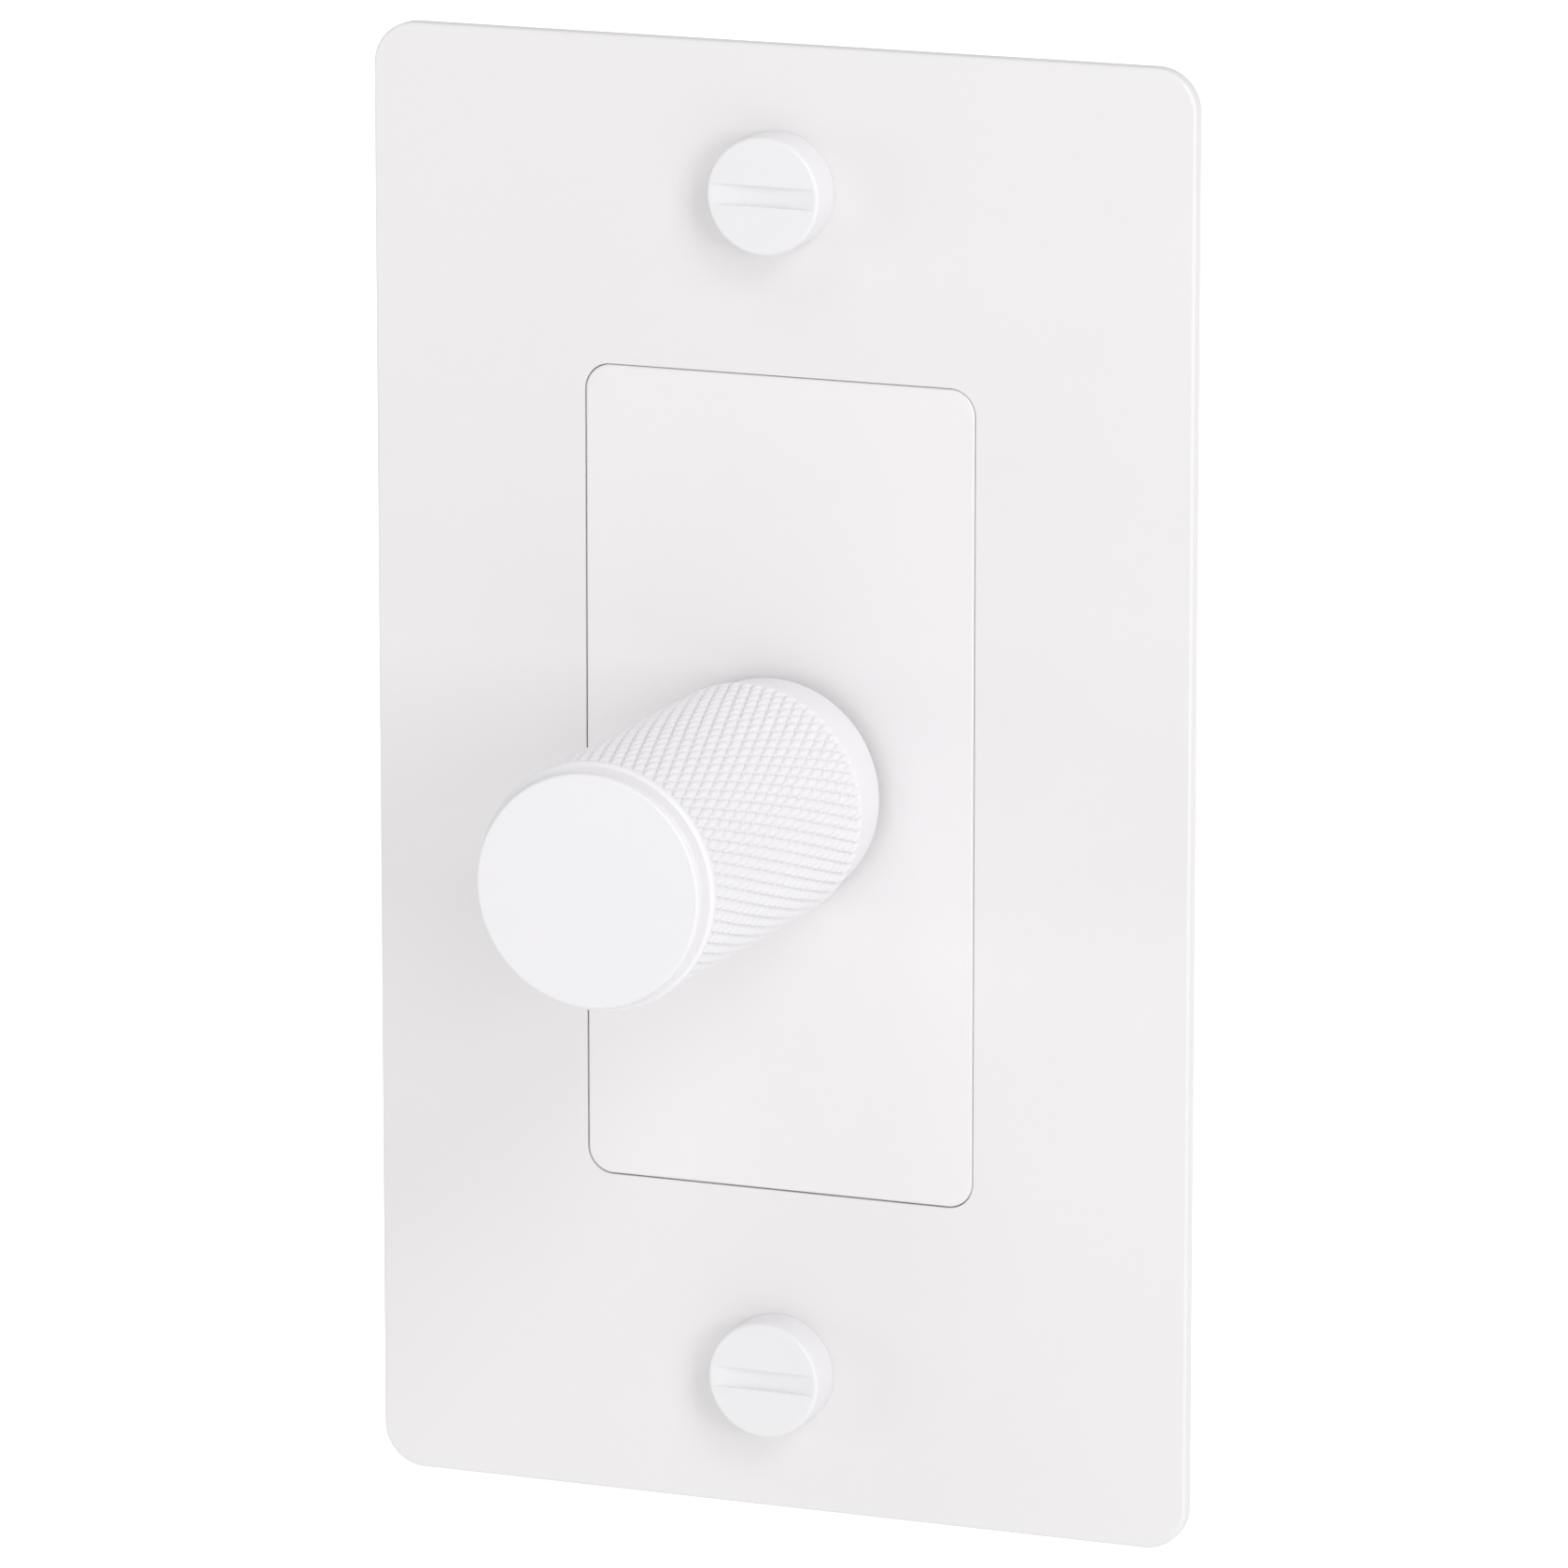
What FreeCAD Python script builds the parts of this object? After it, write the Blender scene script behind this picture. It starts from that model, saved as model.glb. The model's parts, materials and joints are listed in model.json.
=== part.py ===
import FreeCAD, Part
import math
import os
import re
import Sketcher

# Rotary dimmer for a wall box, pushed to switch on and off.
# Frame: origin on the wall plane, on the knob's axis.  +X is right and +Z is up as seen by the user,
# the knob points along -Y and the works lie behind the wall plane, along +Y.  Millimetres.

SIZES = {
    # face plate, its window and the insert that fills it
    "plate_width": 70.0,
    "plate_height": 120.0,
    "plate_thick": 1.4,
    "plate_corner": 3.5,
    "plate_bevel": 0.25,
    "window_width": 33.5,
    "window_height": 66.9,
    "window_corner": 2.2,
    "insert_gap": 0.07,
    "relief_depth": 0.3,
    "relief_width": 46.0,
    "relief_height": 108.0,
    "locator_radius": 1.0,
    "locator_offset": 26.0,
    "hole_play": 0.1,
    # coin-slot screws that hold the face plate
    "plate_screw_pitch": 96.84,
    "plate_screw_radius": 1.75,
    "plate_screw_hole": 2.0,
    "plate_screw_tail": 11.2,
    "plate_screw_bevel": 0.7,
    "coin_head_radius": 4.75,
    "coin_head_thick": 3.6,
    "coin_head_bevel": 0.3,
    "coin_slot_width": 1.7,
    "coin_slot_depth": 0.45,
    "coin_slot_reach": 4.4,
    # mounting strap
    "strap_thick": 1.5,
    "strap_width": 44.0,
    "strap_middle": 76.0,
    "strap_tab_width": 26.0,
    "strap_height": 106.0,
    "strap_corner": 2.0,
    "strap_ear_radius": 5.0,
    "strap_ear_offset": 14.0,
    "strap_ear_height": 47.5,
    "box_screw_pitch": 83.34,
    "box_screw_hole": 2.2,
    # knob
    "knob_reach": 39.7,
    "knob_gap": 1.3,
    "knob_face_radius": 9.25,
    "knob_face_step": 1.6,
    "knob_face_round": 0.25,
    "knob_grip_radius": 9.85,
    "knob_shoulder": 0.25,
    "knob_neck_radius": 9.2,
    "knob_neck_length": 5.0,
    "knob_recess_radius": 7.7,
    "knob_recess_depth": 5.5,
    "knob_bore_radius": 5.0,
    "knob_bore_depth": 23.3,
    # shaft, bush, nut and washer
    "shaft_radius": 3.0,
    "shaft_front": 24.5,
    "shaft_flat": 2.4,
    "shaft_flat_length": 16.5,
    "shaft_key_half": 2.3,
    "shaft_key_front": 5.2,
    "shaft_key_back": 13.1,
    "shaft_tip_radius": 1.5,
    "shaft_tip_back": 14.9,
    "shaft_bevel": 0.5,
    "running_gap": 0.04,
    "push_travel": 1.0,
    "stop_gap": 0.05,
    "bush_radius": 4.75,
    "bush_flange_radius": 7.5,
    "bush_flange_thick": 2.0,
    "bush_stand_out": 0.7,
    "bush_bevel": 0.4,
    "nut_across_corners": 14.66,
    "nut_thick": 2.0,
    "nut_bevel": 0.9,
    "nut_bevel_depth": 0.5,
    "washer_radius": 7.0,
    "washer_thick": 0.5,
    "notch_reach": 1.2,
    "notch_width": 0.9,
    "clip_radius": 4.9,
    "clip_thick": 0.6,
    "clip_groove_radius": 2.5,
    "clip_mouth": 1.0,
    # potentiometer
    "pot_radius": 11.5,
    "pot_inside_radius": 10.4,
    "pot_front_wall": 1.4,
    "pot_back": 13.2,
    "pot_cover_thick": 1.0,
    "pot_cover_play": 0.3,
    "wafer_front": 5.0,
    "wafer_thick": 1.0,
    "wafer_hole": 6.0,
    "track_thick": 0.1,
    "track_inner": 7.4,
    "track_outer": 9.2,
    "track_span": 310.0,
    "collector_inner": 6.2,
    "collector_outer": 6.9,
    "hub_radius": 4.6,
    "hub_front": 6.4,
    "hub_back": 12.6,
    "rotor_radius": 9.5,
    "rotor_front": 7.8,
    "rotor_thick": 1.4,
    "lug_inner": 7.3,
    "lug_outer": 9.3,
    "lug_back": 10.8,
    "stop_front": 9.6,
    "lug_span": 23.0,
    "stop_span": 66.0,
    "turn_range": 270.0,
    "wiper_thick": 0.3,
    "wiper_collar": 1.6,
    "wiper_inset": 0.4,
    "wiper_arm_span": 24.0,
    "wiper_track_span": 6.0,
    "wiper_ring_span": 8.0,
    "pot_pin_pitch": 3.5,
    "pot_pin_width": 1.0,
    "pot_pin_thick": 0.4,
    "pot_pin_top": 8.0,
    "pot_pin_drop": 15.0,
    "pot_slot_height": 4.0,
    # push switch
    "switch_width": 22.0,
    "switch_height": 18.0,
    "switch_wall": 1.2,
    "switch_lid_thick": 2.0,
    "switch_back": 25.2,
    "nose_radius": 2.0,
    "flange_width": 7.0,
    "flange_low": 3.5,
    "flange_high": 7.5,
    "flange_thick": 1.0,
    "spigot_radius": 1.2,
    "spigot_length": 1.6,
    "spring_radius": 2.0,
    "spring_wire": 0.2,
    "spring_turns": 6.0,
    "contact_height": 5.6,
    "contact_spread": 5.8,
    "contact_width": 2.4,
    "contact_thick": 0.5,
    "button_radius": 1.0,
    "button_thick": 0.5,
    "contact_leg": 9.0,
    "contact_leg_thick": 0.6,
    "contact_shoulder": 0.6,
    "contact_tail": 1.0,
    # housing
    "housing_width": 42.0,
    "housing_height": 68.0,
    "housing_depth": 32.0,
    "housing_wall": 1.8,
    "housing_corner": 2.5,
    "housing_inner_corner": 1.5,
    "housing_back_round": 1.2,
    "panel_width": 30.0,
    "panel_height": 46.0,
    "panel_corner": 1.5,
    "panel_depth": 0.4,
    "gauge_length": 12.0,
    "gauge_width": 2.2,
    "gauge_depth": 1.0,
    "gauge_z": 28.5,
    "boss_x": 17.2,
    "boss_z": 30.2,
    "boss_radius": 2.8,
    "boss_length": 12.0,
    "pillar_radius": 2.4,
    "case_screw_radius": 1.4,
    "case_screw_head": 2.9,
    "case_screw_length": 11.0,
    "recess_arm": 0.7,
    "recess_depth": 0.8,
    "recess_share": 0.55,
    "screw_end_gap": 0.3,
    "vent_length": 14.0,
    "vent_width": 1.6,
    "vent_pitch": 3.6,
    # circuit board and what stands on it
    "board_width": 37.6,
    "board_height": 62.0,
    "board_thick": 1.6,
    "board_front": 27.0,
    "lead_end": 29.8,
    "board_screw_x": 15.5,
    "board_screw_z": 27.5,
    "board_screw_radius": 1.0,
    "board_screw_head": 2.0,
    "board_screw_head_thick": 1.3,
    "lead_radius": 0.3,
    "lead_stub": 0.8,
    "lead_bend": 0.6,
    "lead_hole": 0.5,
    "leg_hole": 0.72,
    "triac_x": 8.6,
    "triac_low": 14.5,
    "triac_width": 10.0,
    "triac_height": 15.5,
    "triac_body_height": 9.0,
    "triac_tab_thick": 1.3,
    "triac_thick": 4.4,
    "triac_leg_pitch": 2.54,
    "triac_leg_drop": 1.9,
    "triac_leg_width": 0.9,
    "triac_leg_thick": 0.6,
    "triac_leg_back": 2.6,
    "triac_screw_z": 27.0,
    "triac_screw_radius": 1.45,
    "triac_screw_head": 2.7,
    "triac_screw_head_thick": 1.8,
    "triac_hole": 1.9,
    "pad_thick": 0.25,
    "pad_margin": 0.5,
    "choke_x": 1.0,
    "choke_y": 19.0,
    "choke_z": 22.0,
    "choke_length": 20.0,
    "choke_flange": 6.5,
    "choke_flange_thick": 1.5,
    "choke_core": 3.0,
    "choke_winding": 5.8,
    "choke_lead_pitch": 14.0,
    "film_length": 17.0,
    "film_depth": 12.0,
    "film_height": 8.5,
    "film_z": 22.0,
    "film_round": 0.8,
    "film_lead_pitch": 15.0,
    "fuse_x": 14.0,
    "fuse_z": 21.0,
    "fuse_radius": 4.1,
    "fuse_height": 8.0,
    "fuse_lead_pitch": 5.0,
    "disc_x": 13.6,
    "disc_radius": 3.2,
    "disc_thick": 2.2,
    "disc_low": 18.6,
    "disc_high": 24.4,
    "disc_stand": 1.2,
    "disc_lead_pitch": 5.0,
    "axial_y": 25.4,
    "axial_right_z": 20.5,
    "resistor_radius": 1.1,
    "resistor_length": 6.4,
    "resistor_inner_x": 12.4,
    "resistor_outer_x": 16.0,
    "resistor_left_z": 18.0,
    "resistor_right_x": 13.7,
    "diac_radius": 0.9,
    "diac_length": 4.0,
    "diac_x": 16.8,
    # side terminals
    "terminal_z": 12.0,
    "terminal_front": 14.5,
    "terminal_depth": 9.0,
    "terminal_width": 9.0,
    "terminal_thick": 0.8,
    "terminal_leg_x": 16.0,
    "terminal_leg_width": 3.0,
    "terminal_boss_x": 13.2,
    "terminal_rest_gap": 0.3,
    "terminal_tail": 1.0,
    "terminal_screw_inset": 4.0,
    "terminal_screw_radius": 1.75,
    "terminal_screw_length": 6.5,
    "terminal_hole_depth": 7.5,
    "terminal_head_radius": 3.5,
    "terminal_head_thick": 2.0,
    "screw_slot_width": 0.9,
    "screw_slot_depth": 0.8,
    # earth screw on the strap's lower tab
    "earth_x": 8.0,
    "earth_z": 40.0,
    "earth_head_radius": 3.4,
    "earth_head_thick": 2.2,
}

WASHER_NOTCHES = 12
VENTS = 5
TOUCH = 1e-4

doc = FreeCAD.newDocument("rotary_dimmer")
sheet = doc.addObject("Spreadsheet::Sheet", "sizes")
for row, (alias, number) in enumerate(SIZES.items(), start=1):
    sheet.set(f"A{row}", alias)
    sheet.set(f"B{row}", str(number))
    sheet.setAlias(f"B{row}", alias)
doc.recompute()

NODES = []

# Places along Y that several pieces share.
FACE = "-plate_thick"
STRAP_FRONT = "-relief_depth"
STRAP_BACK = "(strap_thick - relief_depth)"
SHANK_FRONT = "(hole_play - relief_depth)"
KNOB_FRONT = "(-plate_thick - knob_reach)"
KNOB_BACK = "(-plate_thick - knob_gap)"
GRIP_FRONT = f"({KNOB_FRONT} + knob_face_step)"
GRIP_BACK = f"({KNOB_BACK} - knob_neck_length)"
NUT_FRONT = "(-plate_thick - washer_thick - nut_thick)"
FLANGE_BACK = f"({STRAP_BACK} + bush_flange_thick)"
CLIP_FRONT = f"({FLANGE_BACK} + stop_gap)"
WAFER_BACK = "(wafer_front + wafer_thick)"
COVER_BACK = "(pot_back + pot_cover_thick)"
LID_BACK = f"({COVER_BACK} + switch_lid_thick)"
FLANGE_FRONT = f"({LID_BACK} + stop_gap)"
PLUNGER_BACK = f"({FLANGE_FRONT} + flange_thick)"
SWITCH_FLOOR = "(switch_back - switch_wall)"
BOARD_BACK = "(board_front + board_thick)"
HOUSING_BACK = f"({STRAP_BACK} + housing_depth)"
HOUSING_FLOOR = f"({HOUSING_BACK} - housing_wall)"
SIDE = "(housing_width / 2)"
PAD_BACK = f"({STRAP_BACK} + pad_thick)"
TAB_BACK = f"({PAD_BACK} + triac_tab_thick)"
LEAD_START = "(board_front - hole_play)"
TERMINAL_Y = "(terminal_front + terminal_screw_inset)"

# The three side terminals, as a side and a height: two on the right and one on the left.
TERMINALS = [("", "terminal_z"), ("", "-terminal_z"), ("-", "terminal_z")]

# Where leads and flat legs pass through the board, filled in as they are made.
LEADS = []
LEGS = []


def in_sheet(formula):
    """Points each size named in a formula at its cell."""
    return re.sub(r"[a-z]\w*", lambda word: "sizes." + word[0] if word[0] in SIZES else word[0], formula)


def worth(formula):
    """The number that a formula gives now."""
    return float(sheet.evalExpression(in_sheet(formula)))


def bind(thing, **formulas):
    """Binds properties to formulas of the sheet's sizes."""
    for prop, formula in formulas.items():
        thing.setExpression(prop, in_sheet(formula))
    return thing


def place(thing, x="0", y="0", z="0", rotation=None):
    """Puts an object at a point, with its own turn about that point."""
    thing.Placement = FreeCAD.Placement(FreeCAD.Vector(), rotation or FreeCAD.Rotation())
    for axis, formula in zip("xyz", (x, y, z)):
        thing.setExpression("Placement.Base." + axis, in_sheet(formula))
    return thing


def node(name, thing):
    """Names an object as one finished sub-part."""
    thing.Label = name
    NODES.append(thing)
    return thing


# Turns that lay a primitive's own Z axis along X, Y or Z.
ALONG = {
    "x": FreeCAD.Rotation(FreeCAD.Vector(0, 1, 0), 90),
    "y": FreeCAD.Rotation(FreeCAD.Vector(1, 0, 0), -90),
    "z": FreeCAD.Rotation(),
}


def rod(radius, length, x="0", y="0", z="0", along="y"):
    """A cylinder that starts at a point and runs towards the positive end of an axis."""
    thing = bind(doc.addObject("Part::Cylinder", "rod"), Radius=radius, Height=length)
    return place(thing, x, y, z, ALONG[along])


def cone(front, back, length, x="0", y="0", z="0"):
    """A cone along Y from one radius to another."""
    thing = bind(doc.addObject("Part::Cone", "cone"), Radius1=front, Radius2=back, Height=length)
    return place(thing, x, y, z, ALONG["y"])


def block(wide, deep, tall, x="0", y="0", z="0"):
    """A box centred in X and Z whose front is at y."""
    thing = bind(doc.addObject("Part::Box", "block"), Length=wide, Width=deep, Height=tall)
    return place(thing, f"({x}) - ({wide}) / 2", y, f"({z}) - ({tall}) / 2")


def fuse(*shapes):
    thing = doc.addObject("Part::MultiFuse", "fuse")
    thing.Shapes = list(shapes)
    return thing


def group(*shapes):
    thing = doc.addObject("Part::Compound", "group")
    thing.Links = list(shapes)
    return thing


def cut(base, *tools):
    thing = doc.addObject("Part::Cut", "cut")
    thing.Base = base
    thing.Tool = tools[0] if len(tools) == 1 else fuse(*tools)
    return thing


def both(base, other):
    thing = doc.addObject("Part::Common", "common")
    thing.Base = base
    thing.Tool = other
    return thing


def sector(inner, outer, length, y, middle, width):
    """Part of a ring about the knob's axis.  Angles run clockwise from the top as the user sees it."""
    pie = bind(doc.addObject("Part::Cylinder", "sector"), Radius=outer, Height=length, Angle=width)
    start = FreeCAD.Rotation(FreeCAD.Vector(0, 0, 1), worth(f"({middle}) - ({width}) / 2 - 90"))
    place(pie, "0", y, "0", ALONG["y"].multiply(start))
    return cut(pie, rod(inner, length, "0", y, "0"))


def ring(inner, outer, length, y):
    return cut(rod(outer, length, "0", y), rod(inner, length, "0", y))


def body_at(y="0", x="0", z="0"):
    return place(doc.addObject("PartDesign::Body", "body"), x, y, z)


def sketch_on(body, plane):
    """A sketch on one of the body's own origin planes."""
    sketch = body.newObject("Sketcher::SketchObject", "sketch")
    support = [face for face in body.Origin.OriginFeatures if face.Role == plane][0]
    sketch.AttachmentSupport = [(support, "")]
    sketch.MapMode = "FlatFace"
    return sketch


def dimension(sketch, kind, *where, formula):
    """Adds a dimension to a sketch and binds it to the sheet."""
    number = sketch.addConstraint(Sketcher.Constraint(kind, *where, worth(formula)))
    sketch.setExpression(f"Constraints[{number}]", in_sheet(formula))


def polygon(sketch, corners):
    """A closed outline of straight sides, each corner held at its own place."""
    points = [FreeCAD.Vector(worth(across), worth(up), 0) for across, up in corners]
    first = sketch.GeometryCount
    for here, there in zip(points, points[1:] + points[:1]):
        sketch.addGeometry(Part.LineSegment(here, there), False)
    for number, (across, up) in enumerate(corners):
        side = first + number
        before = first + (number - 1) % len(corners)
        sketch.addConstraint(Sketcher.Constraint("Coincident", before, 2, side, 1))
        dimension(sketch, "DistanceX", -1, 1, side, 1, formula=across)
        dimension(sketch, "DistanceY", -1, 1, side, 1, formula=up)


def circle(sketch, radius, x="0", z="0"):
    centre = FreeCAD.Vector(worth(x), worth(z), 0)
    number = sketch.addGeometry(Part.Circle(centre, FreeCAD.Vector(0, 0, 1), worth(radius)), False)
    dimension(sketch, "Radius", number, formula=radius)
    dimension(sketch, "DistanceX", -1, 1, number, 3, formula=x)
    dimension(sketch, "DistanceY", -1, 1, number, 3, formula=z)


def rounded_rectangle(sketch, width, height, corner):
    """A rectangle about the origin whose corners are arcs."""
    half, tall, radius = worth(width) / 2, worth(height) / 2, worth(corner)
    centres = [(1, 1), (-1, 1), (-1, -1), (1, -1)]
    arcs = []
    for quarter, (right, up) in enumerate(centres):
        middle = FreeCAD.Vector(right * (half - radius), up * (tall - radius), 0)
        whole = Part.Circle(middle, FreeCAD.Vector(0, 0, 1), radius)
        arc = Part.ArcOfCircle(whole, quarter * math.pi / 2, (quarter + 1) * math.pi / 2)
        arcs.append(sketch.addGeometry(arc, False))
    sides = []
    for here, there in zip(arcs, arcs[1:] + arcs[:1]):
        start = sketch.getPoint(here, 2)
        end = sketch.getPoint(there, 1)
        sides.append(sketch.addGeometry(Part.LineSegment(start, end), False))
    for number, side in enumerate(sides):
        sketch.addConstraint(Sketcher.Constraint("Tangent", arcs[number], 2, side, 1))
        sketch.addConstraint(Sketcher.Constraint("Tangent", side, 2, arcs[(number + 1) % 4], 1))
        sketch.addConstraint(Sketcher.Constraint("Horizontal" if number % 2 == 0 else "Vertical", side))
    for arc in arcs[1:]:
        sketch.addConstraint(Sketcher.Constraint("Equal", arcs[0], arc))
    sketch.addConstraint(Sketcher.Constraint("Symmetric", arcs[0], 3, arcs[2], 3, -1, 1))
    dimension(sketch, "Radius", arcs[0], formula=corner)
    dimension(sketch, "DistanceX", arcs[1], 3, arcs[0], 3, formula=f"({width}) - 2 * ({corner})")
    dimension(sketch, "DistanceY", arcs[3], 3, arcs[0], 3, formula=f"({height}) - 2 * ({corner})")


def pad(body, sketch, length, backwards=False):
    """Thickens a sketch towards the user, or backwards into the wall."""
    thing = body.newObject("PartDesign::Pad", "pad")
    thing.Profile = sketch
    thing.Reversed = backwards
    return bind(thing, Length=length)


def pocket(body, sketch, depth):
    """Cuts a sketch on the rear plane into the material in front of it."""
    doc.recompute()
    before = body.Shape.Volume
    thing = body.newObject("PartDesign::Pocket", "pocket")
    thing.Profile = sketch
    thing.Reversed = True
    bind(thing, Length=depth)
    doc.recompute()
    if body.Shape.Volume >= before:
        raise RuntimeError(f"{body.Label}: a pocket removed nothing")
    return thing


def bevel(body, size, keep, kind="Chamfer"):
    """Chamfers or fillets the edges of a body for which keep is true."""
    doc.recompute()
    feature = body.Tip
    edges = [f"Edge{number}" for number, edge in enumerate(feature.Shape.Edges, 1) if keep(edge)]
    thing = body.newObject(f"PartDesign::{kind}", kind.lower())
    thing.Base = (feature, edges)
    return bind(thing, **{"Size" if kind == "Chamfer" else "Radius": size})


def flat_at(edge, y):
    """True for an edge that lies in one plane across the knob's axis."""
    box = edge.BoundBox
    return abs(box.YMin - y) < TOUCH and abs(box.YMax - y) < TOUCH


def turned(profile, x="0", z="0"):
    """A body of revolution about a line along Y.  The profile is a list of radius and place along Y."""
    body = body_at("0", x, z)
    sketch = sketch_on(body, "XY_Plane")
    polygon(sketch, profile)
    spin = body.newObject("PartDesign::Revolution", "revolution")
    spin.Profile = sketch
    spin.ReferenceAxis = (sketch, ["V_Axis"])
    spin.Angle = 360
    return body


def corners(x, z):
    """Four places, one in each corner."""
    return [(f"{right}{x}", f"{up}{z}") for right in ("", "-") for up in ("", "-")]


def cross_recess(x, z, y, head):
    """Cutters for a cross recess in a screw head of a given radius."""
    reach = f"2 * recess_share * {head}"
    return [
        block(reach, "recess_depth", "recess_arm", x, y, z),
        block("recess_arm", "recess_depth", reach, x, y, z),
    ]


# Front: plate, insert and the two coin-slot screws

def on_rim(edge):
    """True for the plate's own rim, and false for its window and screw holes."""
    middle = edge.CenterOfMass
    right = worth("plate_width / 2 - plate_corner")
    top = worth("plate_height / 2 - plate_corner")
    return abs(middle.x) > right or abs(middle.z) > top


def make_face_plate():
    body = body_at()
    outline = sketch_on(body, "XZ_Plane")
    rounded_rectangle(outline, "plate_width", "plate_height", "plate_corner")
    rounded_rectangle(outline, "window_width", "window_height", "window_corner")
    for side in ("", "-"):
        circle(outline, "plate_screw_hole", "0", f"{side}plate_screw_pitch / 2")
    pad(body, outline, "plate_thick")
    relief = sketch_on(body, "XZ_Plane")
    rounded_rectangle(relief, "relief_width", "relief_height", "plate_corner")
    pocket(body, relief, "relief_depth")
    front = -worth("plate_thick")
    bevel(body, "plate_bevel", lambda edge: flat_at(edge, front) and on_rim(edge))
    node("face_plate", body)


def make_centre_plate():
    body = body_at("-relief_depth")
    outline = sketch_on(body, "XZ_Plane")
    rounded_rectangle(
        outline, "window_width - 2 * insert_gap", "window_height - 2 * insert_gap",
        "window_corner - insert_gap",
    )
    circle(outline, "bush_radius + hole_play")
    pad(body, outline, "plate_thick - relief_depth")
    locators = sketch_on(body, "XZ_Plane")
    for side in ("", "-"):
        circle(locators, "locator_radius", "0", f"{side}locator_offset")
    pad(body, locators, "strap_thick - 2 * hole_play", backwards=True)
    node("centre_plate", body)


def make_plate_screws():
    """Coin-slot screws.  A round cutter sinks the slot: its floor is an arc that runs out at both ends."""
    head_front = "(-plate_thick - coin_head_thick)"
    cutter = "((coin_slot_reach ^ 2 + coin_slot_depth ^ 2) / (2 * coin_slot_depth))"
    screws = []
    for side in ("", "-"):
        z = f"{side}plate_screw_pitch / 2"
        blank = turned([
            ("0", head_front),
            ("coin_head_radius - coin_head_bevel", head_front),
            ("coin_head_radius", f"{head_front} + coin_head_bevel"),
            ("coin_head_radius", FACE),
            ("plate_screw_radius", FACE),
            ("plate_screw_radius", "plate_screw_tail - plate_screw_bevel"),
            ("plate_screw_radius - plate_screw_bevel", "plate_screw_tail"),
            ("0", "plate_screw_tail"),
        ], z=z)
        y = f"{head_front} + coin_slot_depth - {cutter}"
        slot = rod(cutter, "coin_slot_width", "0", y, f"{z} - coin_slot_width / 2", "z")
        screws.append(cut(blank, slot))
    node("plate_screws", group(*screws))


# Mounting strap

def make_mounting_strap():
    body = body_at(STRAP_BACK)
    for width, height in (("strap_width", "strap_middle"), ("strap_tab_width", "strap_height")):
        outline = sketch_on(body, "XZ_Plane")
        rounded_rectangle(outline, width, height, "strap_corner")
        pad(body, outline, "strap_thick")
    ears = sketch_on(body, "XZ_Plane")
    for right in ("", "-"):
        for up in ("", "-"):
            circle(ears, "strap_ear_radius", f"{right}strap_ear_offset", f"{up}strap_ear_height")
    pad(body, ears, "strap_thick")
    holes = sketch_on(body, "XZ_Plane")
    circle(holes, "bush_radius + hole_play")
    for side in ("", "-"):
        circle(holes, "box_screw_hole", "0", f"{side}box_screw_pitch / 2")
        circle(holes, "plate_screw_radius + stop_gap", "0", f"{side}plate_screw_pitch / 2")
        circle(holes, "locator_radius + hole_play", "0", f"{side}locator_offset")
    circle(holes, "triac_screw_radius + stop_gap", "-triac_x", "triac_screw_z")
    circle(holes, "terminal_screw_radius + stop_gap", "-earth_x", "-earth_z")
    for x, z in corners("boss_x", "boss_z"):
        circle(holes, "case_screw_radius + hole_play", x, z)
    pocket(body, holes, "strap_thick")
    depth = "case_screw_head - case_screw_radius"
    sinks = [
        cone("case_screw_head + stop_gap", "case_screw_radius + stop_gap", depth, x, STRAP_FRONT, z)
        for x, z in corners("boss_x", "boss_z")
    ]
    node("mounting_strap", cut(body, *sinks))


# Knob, shaft and the parts that hold the works to the strap

def make_knob_body():
    inner = f"({KNOB_BACK} - knob_recess_depth)"
    bore_end = f"({KNOB_BACK} - knob_bore_depth)"
    node("knob_body", turned([
        ("0", KNOB_FRONT),
        ("knob_face_radius - knob_face_round", KNOB_FRONT),
        ("knob_face_radius", f"{KNOB_FRONT} + knob_face_round"),
        ("knob_face_radius", GRIP_FRONT),
        ("knob_grip_radius - knob_shoulder", GRIP_FRONT),
        ("knob_grip_radius", f"{GRIP_FRONT} + knob_shoulder"),
        ("knob_grip_radius", f"{GRIP_BACK} - knob_shoulder"),
        ("knob_grip_radius - knob_shoulder", GRIP_BACK),
        ("knob_neck_radius", GRIP_BACK),
        ("knob_neck_radius", f"{KNOB_BACK} - knob_face_round"),
        ("knob_neck_radius - knob_face_round", KNOB_BACK),
        ("knob_recess_radius", KNOB_BACK),
        ("knob_recess_radius", inner),
        ("knob_bore_radius", inner),
        ("knob_bore_radius", bore_end),
        ("0", bore_end),
    ]))


def make_knob_insert():
    """Moulded sleeve pressed into the knob, with a D-shaped hole for the shaft."""
    inner = f"({KNOB_BACK} - knob_recess_depth)"
    length = "(knob_bore_depth - knob_recess_depth)"
    front = f"({KNOB_BACK} - knob_bore_depth)"
    sleeve = rod("knob_bore_radius", length, "0", front)
    hole = rod("shaft_radius", length, "0", front)
    flat = block("2 * shaft_radius", length, "shaft_radius", "0", front, "shaft_flat + shaft_radius / 2")
    node("knob_insert", cut(sleeve, cut(hole, flat)))


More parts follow.
